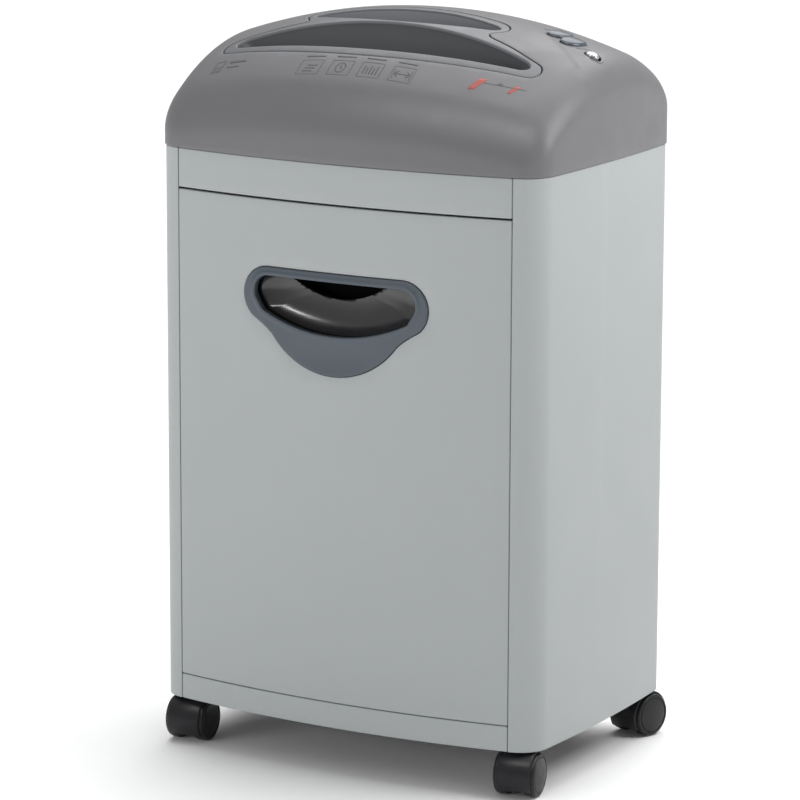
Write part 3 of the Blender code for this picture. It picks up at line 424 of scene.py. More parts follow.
def finish_for(slot):
    """The finish of a record slot, made once."""
    if slot not in FINISHES:
        c = colours()
        makers = {
            "head_plastic": lambda: moulded_plastic(slot, c.head),
            "insert_plastic": lambda: moulded_plastic(slot, c.insert, 0.38),
            "cabinet_paint": lambda: powder_coat(slot, c.cabinet),
            "blue_grey_plastic": lambda: moulded_plastic(slot, c.handle, 0.36),
            "gloss_black": lambda: gloss_plastic(slot, c.bowl),
            "black_plastic": lambda: caster_nylon(slot, c.caster),
            "clear_lens": lambda: clear_plastic(slot),
            "steel": lambda: bright_metal(slot, (0.46, 0.46, 0.47), 0.3),
            "zinc_plate": lambda: zinc_sheet(slot),
            "nylon": lambda: natural_nylon(slot),
            "circuit_board": lambda: circuit_board(slot),
            "bin_plastic": lambda: moulded_plastic(slot, (0.022, 0.022, 0.024), 0.5),
            "button_gloss": lambda: moulded_plastic(slot, c.handle, 0.24),
            "ink": lambda: printed_ink(slot, c.ink),
            "marker": lambda: printed_ink(slot, c.marker),
            "chrome": lambda: bright_metal(slot, (0.13, 0.13, 0.14), 0.4, (4.0, 4.0, 4.0), 40.0),
            # painted shade: the paper funnel is the insert's plastic darkened, standing in for the shade deep in
            # the throat
            "funnel": lambda: moulded_plastic(slot, shade(c.insert, 0.46), 0.46),
            # painted light: the disc funnel is the insert's plastic lightened, standing in for the light that
            # reaches into its throat
            "disc_funnel_painted_light": lambda: moulded_plastic(slot, shade(c.insert, 1.9), 0.46),
            # painted shade: a near-black, barely glossy finish that stands in for the shade in the finger pocket
            # and round the bowl's rim
            "pocket": lambda: moulded_plastic(slot, (0.0025, 0.0025, 0.003), 0.7, 0.04),
        }
        FINISHES[slot] = makers[slot]()
    return FINISHES[slot]


# Outlines

def arc(cx, cy, radius, start, end, count):
    """Points of a circle's arc, both ends included, angles in degrees."""
    turns = [math.radians(start + (end - start) * k / count) for k in range(count + 1)]
    return [(cx + radius * math.cos(t), cy + radius * math.sin(t)) for t in turns]


def mirrored(half):
    """A closed outline from its right half, which starts and ends on x = 0 or at a level edge."""
    return half + [(-x, y) for x, y in reversed(half) if x > 1e-6]


def circle(cx, cy, radius, count=48):
    return arc(cx, cy, radius, 0.0, 360.0, count)[:-1]


def anticlockwise(outline):
    area = sum(a[0] * b[1] - b[0] * a[1] for a, b in zip(outline, outline[1:] + outline[:1]))
    return outline if area > 0.0 else outline[::-1]


def grown(outline, distance):
    """An anticlockwise outline moved outwards along its own normals."""
    count = len(outline)
    moved = []
    for k, here in enumerate(outline):
        before = (Vector(here) - Vector(outline[k - 1])).normalized()
        after = (Vector(outline[(k + 1) % count]) - Vector(here)).normalized()
        along = (before + after).normalized()
        reach = distance / max(0.7, along.dot(after))
        moved.append((here[0] + along.y * reach, here[1] - along.x * reach))
    return moved


def flowing(outline, step):
    """A closed outline drawn smoothly through its points, with a new point about every step."""
    count = len(outline)
    drawn = []
    for k in range(count):
        a, b, c, d = (Vector(outline[(k + n) % count]) for n in (-1, 0, 1, 2))
        pieces = max(1, round((c - b).length / step))
        for n in range(pieces):
            t = n / pieces
            bend = (2 * a - 5 * b + 4 * c - d) * t * t + (3 * b - a - 3 * c + d) * t ** 3
            p = 0.5 * (2 * b + (c - a) * t + bend)
            drawn.append((p.x, p.y))
    return drawn


def even(outline, step):
    """A closed outline of straight runs, with a point about every step."""
    count = len(outline)
    drawn = []
    for k in range(count):
        a, b = Vector(outline[k]), Vector(outline[(k + 1) % count])
        pieces = max(1, round((b - a).length / step))
        drawn += [tuple(a.lerp(b, n / pieces)) for n in range(pieces)]
    return drawn


def within(points, outline):
    """Which of the points lie inside an outline."""
    x, y = points[:, 0], points[:, 1]
    inside = np.zeros(len(points), bool)
    for (ax, ay), (bx, by) in zip(outline, outline[1:] + outline[:1]):
        if ay == by:
            continue
        crosses = ((ay > y) != (by > y)) & (x < (bx - ax) * (y - ay) / (by - ay) + ax)
        inside ^= crosses
    return inside


def front_y(x):
    return -HALF_DEPTH + FRONT_BOW * x * x


def front_at(x, inwards):
    slope = 2.0 * FRONT_BOW * x
    length = math.hypot(1.0, slope)
    return (x - inwards * slope / length, front_y(x) + inwards / length)


def side_at(y, inwards):
    slope = 2.0 * SIDE_BOW * y
    length = math.hypot(1.0, slope)
    return (HALF_WIDTH - SIDE_BOW * y * y - inwards / length, y - inwards * slope / length)


def corner_fit():
    """Where the corner circles touch: x on the front, y on the side in front, and y on the side behind.

    It starts from a first guess and closes in on the circle that touches both curves.
    """
    front_x, side_y, rear_y = 150.0, -95.0, 100.0
    for _ in range(60):
        side, front = side_at(side_y, FRONT_CORNER), front_at(front_x, FRONT_CORNER)
        front_x += side[0] - front[0]
        side_y += front[1] - side[1]
        rear_y += HALF_DEPTH - REAR_CORNER - side_at(rear_y, REAR_CORNER)[1]
    return front_x, side_y, rear_y


FRONT_TOUCH, SIDE_TOUCH, REAR_TOUCH = corner_fit()
SIDE_STEPS = 30


def plan_half(inwards, edge_x=0.0, front_steps=44, rear_steps=40):
    """The right half of the cabinet's plan, moved inwards: from edge_x on the front to edge_x at the back."""
    span = FRONT_TOUCH - edge_x
    points = [front_at(edge_x + span * k / front_steps, inwards) for k in range(front_steps + 1)]
    cx, cy = front_at(FRONT_TOUCH, FRONT_CORNER)
    start = math.degrees(math.atan2(points[-1][1] - cy, points[-1][0] - cx))
    side = side_at(SIDE_TOUCH, 0.0)
    end = math.degrees(math.atan2(side[1] - cy, side[0] - cx))
    points += arc(cx, cy, FRONT_CORNER - inwards, start, end, 14)[1:]
    for k in range(1, SIDE_STEPS + 1):
        points.append(side_at(SIDE_TOUCH + (REAR_TOUCH - SIDE_TOUCH) * k / SIDE_STEPS, inwards))
    cx, cy = side_at(REAR_TOUCH, REAR_CORNER)
    start = math.degrees(math.atan2(points[-1][1] - cy, points[-1][0] - cx))
    points += arc(cx, cy, REAR_CORNER - inwards, start, 90.0, 9)[1:]
    for k in range(1, rear_steps + 1):
        points.append((cx + (edge_x - cx) * k / rear_steps, HALF_DEPTH - inwards))
    return points


def dome_z(x, y):
    side = SIDE_DROP * (abs(x) / DOME_REACH[0]) ** SIDE_POWER
    end = END_DROP * (abs(y - CROWN_Y) / DOME_REACH[1]) ** END_POWER
    return CROWN_Z - side - end


CREASE_ALONG = (CREASE_END - CREASE_START).normalized()
CREASE_ACROSS = Vector((-CREASE_ALONG.y, CREASE_ALONG.x))
CREASE_LENGTH = (CREASE_END - CREASE_START).length


def crease_drop(x, y):
    """A fold with a slim bead on it.

    The control area behind the fold lies a little below the dome, and fold and bead fade out at both ends.
    """
    offset = Vector((x, y)) - CREASE_START
    s, d = offset.dot(CREASE_ALONG), offset.dot(CREASE_ACROSS)
    start = min(1.0, max(0.0, s / (0.6 * CREASE_LENGTH)))
    end = min(1.0, max(0.0, (CREASE_LENGTH + 4.0 - s) / 10.0))
    height, width = CREASE_BEAD
    bead = height * math.exp(-(((d + 0.4) / width) ** 2))
    depth, turn, recovery = CREASE_FALL
    fall = depth * (1.0 - math.exp(-d / turn)) * math.exp(-d / recovery) if d > 0.0 else 0.0
    return start * end * (fall - bead)


def crease_rows():
    """Points along both sides of the fold, closely spaced across it."""
    rows = []
    for d in (-5.0, -3.4, -2.2, -1.3, -0.4, 0.5, 1.4, 2.4, 3.8, 5.6, 8.0):
        places = range(0, int(CREASE_LENGTH) - 8, 3)
        row = [CREASE_START + CREASE_ALONG * s + CREASE_ACROSS * d for s in places]
        rows.append(([tuple(p) for p in row], 0.0))
    return rows


def roll_drop(radius, inwards):
    """How far a rounded edge of this radius lies below the face, at a distance in from the edge."""
    short = min(radius, max(0.0, radius - inwards))
    return radius - math.sqrt(radius ** 2 - short ** 2)


def side_drop(x, y):
    """How far the head's rounded side edge lies below the dome, away from the corners."""
    return roll_drop(HEAD_FILLET, HALF_WIDTH + HEAD_OVERHANG - SIDE_BOW * y * y - abs(x))


def head_z(x, y):
    return dome_z(x, y) - crease_drop(x, y) - side_drop(x, y)


def skirt_z(x, y, drop):
    """The height of the head's rounded edge at a drop below the dome, kept above its hem."""
    return max(HEAD_BOTTOM + SKIRT_LEAST, head_z(x, y) + side_drop(x, y) - drop)


def throat_outline(throat, steps=44):
    """A throat's lens in plan: two arcs that close in a rounded tip at each end."""
    half = throat["half"]
    upper = []
    for k in range(steps * 2 + 1):
        x = -half * math.cos(math.pi * k / (steps * 2))
        reach = throat["middle"] - throat["bow"] * x * x
        tip = min(1.0, (half - abs(x)) / 7.0)
        upper.append((x, throat["y"] + reach * math.sqrt(max(0.0, tip * (2.0 - tip)))))
    lower = [(x, 2.0 * throat["y"] - y) for x, y in upper[1:-1]]
    return upper + lower[::-1]


def slot_point(throat, x, y):
    """The point of the slot below a point of the throat's rim."""
    share = x / throat["half"]
    side = math.copysign(1.0, y - throat["y"]) if abs(share) < 0.9999 else 0.0
    thick = throat["slot"][1] * min(1.0, (1.0 - abs(share)) * 40.0)
    return throat["slot"][0] * share, throat["y"] + side * thick


def insert_outline(step=1.6):
    """The throat insert in plan: the paper lens's rim, a notch, and the disc lens's rim behind it."""
    half = [(x, INSERT_FRONT[0] + INSERT_FRONT[1] * x * x) for x in range(0, 121, 20)]
    half += [(129.0, -59.4)] + arc(132.2, -48.6, 9.6, -62.0, 62.0, 5)
    half += [(x, INSERT_REAR[0] + INSERT_REAR[1] * x * x) for x in (126, 112, 99, 90)]
    half += [(84.8, -24.2), (81.8, -20.2), (83.4, -15.6), (87.4, -10.6), (89.4, -4.6)]
    half += [(87.8, 1.8), (83.2, 7.4)]
    half += [(x, INSERT_BACK[0] + INSERT_BACK[1] * x * x) for x in (75, 60, 40, 20, 0)]
    return anticlockwise(flowing(mirrored(half), step))


def leaf_outline(name, steps=24):
    """A leaf-shaped button in plan, whose two sides are fullest near opposite ends."""
    cx, cy, angle = LEAVES[name]
    c, s = math.cos(angle), math.sin(angle)
    points = []
    for k in range(steps * 2):
        t = math.pi * k / steps
        side = math.copysign(1.0, math.sin(t))
        x = LEAF_LENGTH / 2.0 * math.cos(t)
        y = side * LEAF_WIDTH / 2.0 * abs(math.sin(t)) ** 1.15 * (1.0 + side * LEAF_SKEW * math.cos(t))
        points.append((cx + x * c - y * s, cy + x * s + y * c))
    return anticlockwise(points)


def bezel_outline(step=2.0):
    """The handle's frame, in (x, z): a bean with a round lobe under it."""
    half = arc(60.5, 380.5, 22.5, 90.0, -48.0, 12)
    half += [(67.6, 359.0), (61.8, 355.2)] + arc(0.0, 391.3, 69.5, -36.0, -90.0, 12)
    left = [(-x, z) for x, z in reversed(half) if x > 1e-6]
    return anticlockwise(even(half + left, step))


def mouth_outline(step=2.0):
    """The opening in the handle's frame, in (x, z)."""
    half = arc(60.0, 383.5, 12.5, 90.0, -38.0, 10) + arc(0.0, 501.8, 148.3, -63.9, -90.0, 20)
    left = [(-x, z) for x, z in reversed(half) if x > 1e-6]
    return anticlockwise(even(half + left, step))


# Mesh building

def at(x, y, z):
    """A point of the cabinet's plan, in metres in the frame."""
    return Vector((x, y + MID_Y, z)) * MM


def piece(name, bm, slot, body, replaces=(), angle=40.0, finish=None):
    """Turns a bmesh into a finished piece that rides on a body and stands for CAD nodes."""
    mesh = bpy.data.meshes.new(name)
    bm.to_mesh(mesh)
    bm.free()
    mesh.shade_smooth()
    mesh.set_sharp_from_angle(angle=math.radians(angle))
    thing = bpy.data.objects.new(name, mesh)
    bpy.context.scene.collection.objects.link(thing)
    mesh.materials.append(finish_for(finish or slot))
    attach(thing, body)
    if replaces:
        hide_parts(*replaces)
    return thing


def thicken(thing, thickness, offset=-1.0):
    wall = thing.modifiers.new("wall", "SOLIDIFY")
    wall.thickness = thickness
    wall.offset = offset
    return thing


def soften(thing, width, segments=2, angle=35.0):
    round_off = thing.modifiers.new("edges", "BEVEL")
    round_off.width = width * MM
    round_off.segments = segments
    round_off.limit_method = "ANGLE"
    round_off.angle_limit = math.radians(angle)
    round_off.harden_normals = False
    return thing


def tool(name, bm):
    """A cutter, which isn't rendered and isn't a piece."""
    mesh = bpy.data.meshes.new(name)
    bmesh.ops.recalc_face_normals(bm, faces=bm.faces)
    bm.to_mesh(mesh)
    bm.free()
    thing = bpy.data.objects.new(name, mesh)
    bpy.context.scene.collection.objects.link(thing)
    return thing


def settle(thing):
    """Turns what a piece's modifiers make into its own mesh."""
    graph = bpy.context.evaluated_depsgraph_get()
    thing.data = bpy.data.meshes.new_from_object(thing.evaluated_get(graph))
    thing.modifiers.clear()
    return thing


def cut(thing, cutter):
    """Cuts a mesh for good and removes the cutter."""
    step = thing.modifiers.new("cut", "BOOLEAN")
    step.operation = "DIFFERENCE"
    step.solver = "EXACT"
    step.object = cutter
    settle(thing)
    bpy.data.objects.remove(cutter)
    return thing


def box_between(bm, low, high):
    """Adds a plain box between two corners."""
    size = Matrix.Diagonal((*(high - low), 1.0))
    bmesh.ops.create_cube(bm, size=1.0, matrix=Matrix.Translation((high + low) / 2.0) @ size)


def bridge(bm, row, other):
    """Quads between two closed rows of vertices."""
    count = len(row)
    for k in range(count):
        n = (k + 1) % count
        bm.faces.new((row[k], row[n], other[n], other[k]))


def sheet(loops, holes, step, surface, free=(), extra=()):
    """A triangulated face with smooth height.

    Loops run inwards from the rim, and each hole's rings run outwards from it. A loop is (outline, drop), and
    surface maps (u, v, drop) to a point. Free rings lie inside the loops and stop short of the holes, and so
    do the extra points, which draw a fold. Returns the bmesh, the rim's vertices and each hole's vertices.
    """
    points, edges, drops = [], [], []
    marks = []
    for outline, drop in [*loops, *(ring for hole in holes for ring in hole)]:
        start = len(points)
        marks.append((start, len(outline)))
        points += outline
        drops += [drop] * len(outline)
        edges += [(start + k, start + (k + 1) % len(outline)) for k in range(len(outline))]
    for outline, drop in [*free, *extra]:
        ring = np.array(outline)
        clear = np.ones(len(ring), bool)
        for hole in holes:
            clear &= ~within(ring, grown(hole[-1][0], step * 0.3))
        ring = [tuple(p) for p in ring[clear]]
        points += ring
        drops += [drop] * len(ring)
    field = free[-1][0] if free else loops[-1][0]
    lows, highs = np.min(field, axis=0), np.max(field, axis=0)
    us = np.arange(lows[0] + step / 2.0, highs[0], step)
    vs = np.arange(lows[1] + step / 2.0, highs[1], step * 0.88)
    grid = np.array([(u + (n % 2) * step / 2.0, v) for n, v in enumerate(vs) for u in us])
    keep = within(grid, grown(field, -step * 0.4))
    for hole in holes:
        keep &= ~within(grid, grown(hole[-1][0], step * 0.4))
    inner = [tuple(p) for p in grid[keep]]
    points += inner
    drops += [0.0] * len(inner)
    flat, _, faces, sources, _, _ = delaunay_2d_cdt([Vector(p) for p in points], edges, [], 1, 1e-5, True)
    if not all(sources):
        raise RuntimeError("two outlines of a sheet cross")
    centres = np.array([sum((flat[i] for i in face), Vector((0.0, 0.0))) / 3.0 for face in faces])
    solid = within(centres, loops[0][0])
    for hole in holes:
        solid &= ~within(centres, hole[0][0])
    bm = bmesh.new()
    made = [bm.verts.new(surface(p.x, p.y, drops[source[0]])) for p, source in zip(flat, sources)]
    verts = {n: vert for vert, source in zip(made, sources) for n in source}
    for face, kept in zip(faces, solid):
        if kept:
            bm.faces.new([made[i] for i in face])
    for vert in [v for v in bm.verts if not v.link_faces]:
        bm.verts.remove(vert)
    rows = [[verts[start + k] for k in range(count)] for start, count in marks]
    openings, row = [], len(loops)
    for hole in holes:
        openings.append(rows[row])
        row += len(hole)
    return bm, rows[0], openings


def rolled(outline, radius, outwards, steps=4):
    """Rings of a rounded edge that starts at an outline: inwards for a rim, outwards for a hole."""
    side = 1.0 if outwards else -1.0
    rings = []
    for k in range(steps + 1):
        inwards = radius * (1.0 - math.cos(math.pi / 2.0 * k / steps))
        rings.append((grown(outline, side * inwards) if k else outline, roll_drop(radius, inwards)))
    return rings


def walls(bm, row, targets):
    """Extends a closed row through further rows of points, and returns the last row."""
    for target in targets:
        fresh = [bm.verts.new(p) for p in target]
        bridge(bm, row, fresh)
        row = fresh
    return row


def outwards(bm, probe):
    """Makes the faces agree, and turns them all so that on the whole they look along a direction."""
    bmesh.ops.recalc_face_normals(bm, faces=bm.faces)
    total = sum(face.normal.dot(probe) * face.calc_area() for face in bm.faces)
    if total < 0.0:
        bmesh.ops.reverse_faces(bm, faces=bm.faces)


# Head

def head_ring(inwards):
    """The head's plan moved inwards: true offsets near the edge, scaled towards the middle after that."""
    edge = min(inwards, TRUE_OFFSET)
    ring = mirrored(plan_half(edge - HEAD_OVERHANG))
    more = inwards - edge
    kx = 1.0 - more / (HALF_WIDTH + HEAD_OVERHANG - TRUE_OFFSET)
    ky = 1.0 - more / (HALF_DEPTH + HEAD_OVERHANG - TRUE_OFFSET)
    return anticlockwise([(x * kx, y * ky) for x, y in ring])


def dome_normal(x, y):
    step = 0.5
    rise_x = (head_z(x + step, y) - head_z(x - step, y)) / (2.0 * step)
    rise_y = (head_z(x, y + step) - head_z(x, y - step)) / (2.0 * step)
    return Vector((-rise_x, -rise_y, 1.0)).normalized()


def make_head_cover():
    """The domed shell, its skirt and its openings."""
    rings = []
    for k in range(FILLET_STEPS + 1):
        inwards = HEAD_FILLET * (1.0 - math.cos(math.pi / 2.0 * k / FILLET_STEPS))
        rings.append((head_ring(inwards), roll_drop(HEAD_FILLET, inwards)))
    holes = [rolled(grown(insert_outline(), INSERT_GAP), 0.8, True, 3)]
    holes += [rolled(grown(leaf_outline(name), LEAF_GAP), 0.4, True, 2) for name in LEAVES]
    holes.append(rolled(circle(*LAMP, LAMP_RADIUS + LAMP_GAP, 40), 0.7, True, 3))
    holes = [[(outline, -drop) for outline, drop in hole] for hole in holes]

    def surface(x, y, drop):
        """A drop below nothing is a hole's rolled edge, and one above is the head's own."""
        if drop <= 0.0:
            return at(x, y, head_z(x, y) + drop)
        return at(x, y, skirt_z(x, y, drop))

    bm, rim, _ = sheet(rings[:8], holes, sizes().mesh_step / MM, surface, rings[8:], crease_rows())
    outline = rings[0][0]
    rows = []
    for share in (0.25, 0.5, 0.75):
        row = []
        for x, y in outline:
            top = skirt_z(x, y, HEAD_FILLET)
            row.append(at(x, y, top + (HEAD_BOTTOM + HEM_RISE - top) * share))
        rows.append(row)
    rows.append([at(x, y, HEAD_BOTTOM + 0.8) for x, y in outline])
    for inwards, lift in ((0.15, 0.35), (0.45, 0.1), (0.9, 0.0)):
        rows.append([at(x, y, HEAD_BOTTOM + lift) for x, y in grown(outline, -inwards)])
    walls(bm, rim, rows)
    outwards(bm, Vector((0.0, 0.0, 1.0)))
    cover = piece("head_cover_shell", bm, "head_plastic", "cabinet", ("head_cover",), 60.0)
    settle(thicken(cover, sizes().wall))
    low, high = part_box("power_inlet")
    middle = Vector(((low.x + high.x) / 2.0, BACK_HIGH.y * MM, (low.z + high.z) / 2.0))
    reach = Vector(INLET_WINDOW) * MM / 2.0
    bm = bmesh.new()
    box_between(bm, middle - reach, middle + reach)
    return cut(cover, tool("inlet_window", bm))


def make_throat_insert():
    """The plate round both throats, their rolled rims, the funnels and the slots."""
    outer = insert_outline()
    rim_roll = sizes().rim_roll / MM
    holes = [rolled(anticlockwise(throat_outline(t)), rim_roll, True, 6) for t in (PAPER, DISC)]

    def surface(x, y, drop):
        return at(x, y, dome_z(x, y) - INSERT_SINK - drop)

    bm, rim, openings = sheet(rolled(outer, 0.7, False, 3), holes, 3.0, surface)
    walls(bm, rim, [[at(x, y, dome_z(x, y) - depth) for x, y in outer] for depth in (2.0, 4.0)])
    for throat, row, hole in zip((PAPER, DISC), openings, holes):
        rows = []
        for k in range(1, FUNNEL_STEPS + 1):
            t = k / FUNNEL_STEPS
            ease = t ** FUNNEL_EASE
            line = []
            for x, y in hole[0][0]:
                top = dome_z(x, y) - INSERT_SINK - rim_roll
                sx, sy = slot_point(throat, x, y)
                line.append(at(x + (sx - x) * ease, y + (sy - y) * ease, top + (FUNNEL_FOOT - top) * t))
            rows.append(line)
        for z in (SLOT_TOP, SLOT_END):
            rows.append([at(*slot_point(throat, x, y), z) for x, y in hole[0][0]])
        before = set(bm.faces)
        walls(bm, row, rows)
        # the paper funnel's walls take painted shade and the disc funnel's walls take painted light
        for face in set(bm.faces) - before:
            face.material_index = 1 if throat is PAPER else 2
    outwards(bm, Vector((0.0, 0.0, 1.0)))
    insert = piece("throat_insert_shell", bm, "insert_plastic", "cabinet", ("throat_insert",), 50.0)
    for name in ("funnel", "disc_funnel_painted_light"):
        insert.data.materials.append(finish_for(name))
    return thicken(insert, INSERT_WALL * MM)


def make_button(name):
    """A crowned leaf with a ridge along it, on a stem that reaches its switch."""
    outer = leaf_outline(name)
    cx, cy, angle = LEAVES[name]
    height = sizes().leaf_height / MM
    along = Vector((math.cos(angle), math.sin(angle)))
    across = Vector((-along.y, along.x))

    def surface(x, y, drop):
        offset = Vector((x, y)) - Vector((cx, cy))
        d = offset.dot(across) / (LEAF_WIDTH / 2.0)
        s = offset.dot(along) / (LEAF_LENGTH / 2.0)
        crown = height * (1.0 - LEAF_FALL * s * s) - LEAF_TILT * max(0.0, -d) ** 1.5
        return at(x, y, head_z(x, y) + crown - drop)

    bm, rim, _ = sheet(rolled(outer, 1.5, False, 5), [], 1.6, surface)
    walls(bm, rim, [[at(x, y, head_z(cx, cy) - depth) for x, y in outer] for depth in (2.0, 4.5)])
    bmesh.ops.holes_fill(bm, edges=[e for e in bm.edges if e.is_boundary], sides=0)
    outwards(bm, Vector((0.0, 0.0, 1.0)))
    stem_top, stem_foot = head_z(cx, cy) - 4.2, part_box(name)[0].z / MM
    stem = Matrix.Translation(at(cx, cy, (stem_top + stem_foot) / 2.0))
    bmesh.ops.create_cone(
        bm, cap_ends=True, segments=20, radius1=LEAF_STEM * MM, radius2=LEAF_STEM * MM,
        depth=(stem_top - stem_foot) * MM, matrix=stem,
    )
    return piece(name + "_leaf", bm, "blue_grey_plastic", name, (name,), 45.0, "button_gloss")


def turned(bm, profile, steps, matrix):
    """Adds a solid of revolution about local Z from (radius, height) points in millimetres."""
    rows = []
    for r, z in profile:
        if r < 1e-6:
            rows.append([bm.verts.new(matrix @ (Vector((0.0, 0.0, z)) * MM))])
            continue
        ring = []
        for k in range(steps):
            t = 2.0 * math.pi * k / steps
            ring.append(bm.verts.new(matrix @ (Vector((r * math.cos(t), r * math.sin(t), z)) * MM)))
        rows.append(ring)
    for a, b in zip(rows, rows[1:]):
        for k in range(steps):
            n = (k + 1) % steps
            corners = [a[k % len(a)], a[n % len(a)], b[n % len(b)], b[k % len(b)]]
            corners = [v for i, v in enumerate(corners) if v not in corners[:i]]
            if len(corners) > 2:
                bm.faces.new(corners)


def lamp_place(depth=0.0):
    x, y = LAMP
    normal = dome_normal(x, y)
    turn = Vector((0.0, 0.0, 1.0)).rotation_difference(normal).to_matrix().to_4x4()
    return Matrix.Translation(at(x, y, head_z(x, y)) + normal * depth * MM) @ turn


def make_lamp():
    """A smoky domed lens over a metal cup with a small chip in it."""
    r = LAMP_RADIUS - 0.5
    turns = [math.pi / 2.0 * k / 10 for k in range(11)]
    profile = [(r * math.sin(t), -0.4 + 2.6 * math.cos(t)) for t in turns]
    profile += [(r, -2.4), (r - 1.2, -2.4), (r - 1.6, -1.2)]
    profile += [(s * r * 0.7, 0.2 - s * s * 0.9) for s in (0.8, 0.4, 0.0)]
    for name, outline, depth, replaces, angle, finish in (
        ("lamp_lens_dome", profile, 0.0, ("lamp_lens",), 50.0, "clear_lens"),
        ("lamp_reflector", CUP_PROFILE, -0.9, (), 40.0, "chrome"),
    ):
        bm = bmesh.new()
        turned(bm, outline, 40, lamp_place(depth))
        outwards(bm, dome_normal(*LAMP))
        piece(name, bm, "clear_lens", "cabinet", replaces, angle, finish)


def ribbon(bm, line, width, closed=False):
    """A printed line of a given width that follows the dome; points are in plan."""
    points = [Vector(p) for p in line]
    if closed:
        points.append(points[0])
    dense = [points[0]]
    for a, b in zip(points, points[1:]):
        count = max(1, round((b - a).length / 1.5))
        dense += [a.lerp(b, n / count) for n in range(1, count + 1)]
    sides = []
    reach = width / 2.0
    for k, p in enumerate(dense):
        before = dense[k - 1] if k else (dense[-2] if closed else None)
        after = dense[k + 1] if k + 1 < len(dense) else (dense[1] if closed else None)
        along = Vector((0.0, 0.0))
        for start, end in ((before, p), (p, after)):
            if start is not None and end is not None:
                along += (end - start).normalized()
        along.normalize()
        flat = Vector((-along.y, along.x))
        sides.append([bm.verts.new(printed_at(p + flat * r)) for r in (reach, -reach)])
    for a, b in zip(sides, sides[1:]):
        bm.faces.new((a[0], a[1], b[1], b[0]))


def printed_at(p):
    return at(p[0], p[1], head_z(p[0], p[1]) + 0.02)


def patch(bm, corners, rows=6):
    """A filled four-cornered mark that follows the dome."""
    a, b, c, d = (Vector(p) for p in corners)
    grid = []
    for n in range(rows + 1):
        left, right = a.lerp(d, n / rows), b.lerp(c, n / rows)
        grid.append([bm.verts.new(printed_at(left.lerp(right, m / rows))) for m in range(rows + 1)])
    for n in range(rows):
        for m in range(rows):
            bm.faces.new((grid[n][m], grid[n][m + 1], grid[n + 1][m + 1], grid[n + 1][m]))


def print_piece(name, bm, slot):
    outwards(bm, Vector((0.0, 0.0, 1.0)))
    thing = piece(name, bm, "head_plastic", "cabinet", (), 60.0, slot)
    return thicken(thing, sizes().ink, 1.0)


PICTOGRAM_X = (-39.5, -12.0, 15.0, 43.0)
PICTOGRAM_Y = -88.0


def pictogram_frame(bm, x):
    half, low, high = 9.6, -6.5, 6.5
    corners = [(x - half, low), (x + half, low), (x + half, high), (x - half, high)]
    ribbon(bm, [(u, v + PICTOGRAM_Y) for u, v in corners], 0.45, True)
    ribbon(bm, [(x - 8.5, PICTOGRAM_Y + 10.4), (x + 8.5, PICTOGRAM_Y + 10.4)], 1.5)


def make_pictograms():
    """Four framed signs in line: stacked sheets, a clock, cut strips and a width arrow."""
    bm = bmesh.new()
    y = PICTOGRAM_Y
    for x in PICTOGRAM_X:
        pictogram_frame(bm, x)
    x = PICTOGRAM_X[0]
    for k in range(3):
        ribbon(bm, [(x - 5.0 + k, y - 3.6 + 2.6 * k), (x + 3.6 + k, y - 3.6 + 2.6 * k)], 1.2)
    x = PICTOGRAM_X[1]
    ribbon(bm, [(x + 4.2 * u, y + 4.2 * v) for u, v in circle(0.0, 0.0, 1.0, 20)], 0.9, True)
    ribbon(bm, [(x, y + 2.6), (x, y), (x + 2.0, y - 1.4)], 0.8)
    x = PICTOGRAM_X[2]
    for k in range(5):
        ribbon(bm, [(x - 5.6 + 2.8 * k, y - 4.0), (x - 5.6 + 2.8 * k, y + 3.6 - 1.6 * (k % 2))], 1.0)
    x = PICTOGRAM_X[3]
    ribbon(bm, [(x - 6.6, y), (x + 6.6, y)], 0.9)
    for side in (-1.0, 1.0):
        ribbon(bm, [(x + side * 3.8, y + 2.6), (x + side * 6.6, y), (x + side * 3.8, y - 2.6)], 0.9)
        ribbon(bm, [(x + side * 7.6, y - 4.2), (x + side * 7.6, y + 4.2)], 0.6)
    return print_piece("pictograms", bm, "ink")


def make_head_mark():
    """A plain sign at the front left: a sheet over cut strips beside two bars."""
    bm = bmesh.new()
    x, y = -131.0, -76.0
    ribbon(bm, [(x - 4.0, y - 1.0), (x - 4.0, y + 5.5), (x + 4.0, y + 5.5), (x + 4.0, y - 1.0)], 1.0, True)
    for k in range(4):
        ribbon(bm, [(x - 3.6 + 2.4 * k, y - 2.6), (x - 3.6 + 2.4 * k, y - 6.4)], 1.1)
    ribbon(bm, [(x + 9.0, y + 2.6), (x + 25.0, y + 1.0)], 2.4)
    ribbon(bm, [(x + 9.0, y - 2.6), (x + 21.0, y - 3.8)], 2.0)
    return print_piece("head_mark", bm, "ink")


def make_width_marks():
    """Two red bars with a line between them and a small arrow: where narrow sheets go."""
    red = bmesh.new()
    patch(red, [(99.5, -86.5), (104.0, -85.8), (110.5, -73.6), (104.2, -74.4)])
    patch(red, [(129.6, -79.4), (132.2, -78.6), (137.6, -69.6), (132.6, -70.6)])
    print_piece("width_bars", red, "marker")
    line = bmesh.new()
    ribbon(line, [(109.0, -77.4), (121.0, -75.2), (133.0, -72.6), (142.0, -70.4)], 0.7)
    patch(line, [(118.6, -75.8), (123.8, -74.8), (121.8, -71.6), (121.0, -71.8)], 2)
    return print_piece("width_line", line, "ink")


def make_control_marks():
    """Small signs by the buttons and the lamp."""
    bm = bmesh.new()
    ribbon(bm, [(103.0, 30.0), (112.0, 40.0)], 1.6)
    ribbon(bm, [(141.0, 12.0), (149.0, 20.5)], 1.6)
    ribbon(bm, [(157.5, 3.4), (164.0, 8.6)], 1.6)
    return print_piece("control_marks", bm, "ink")


# Cabinet

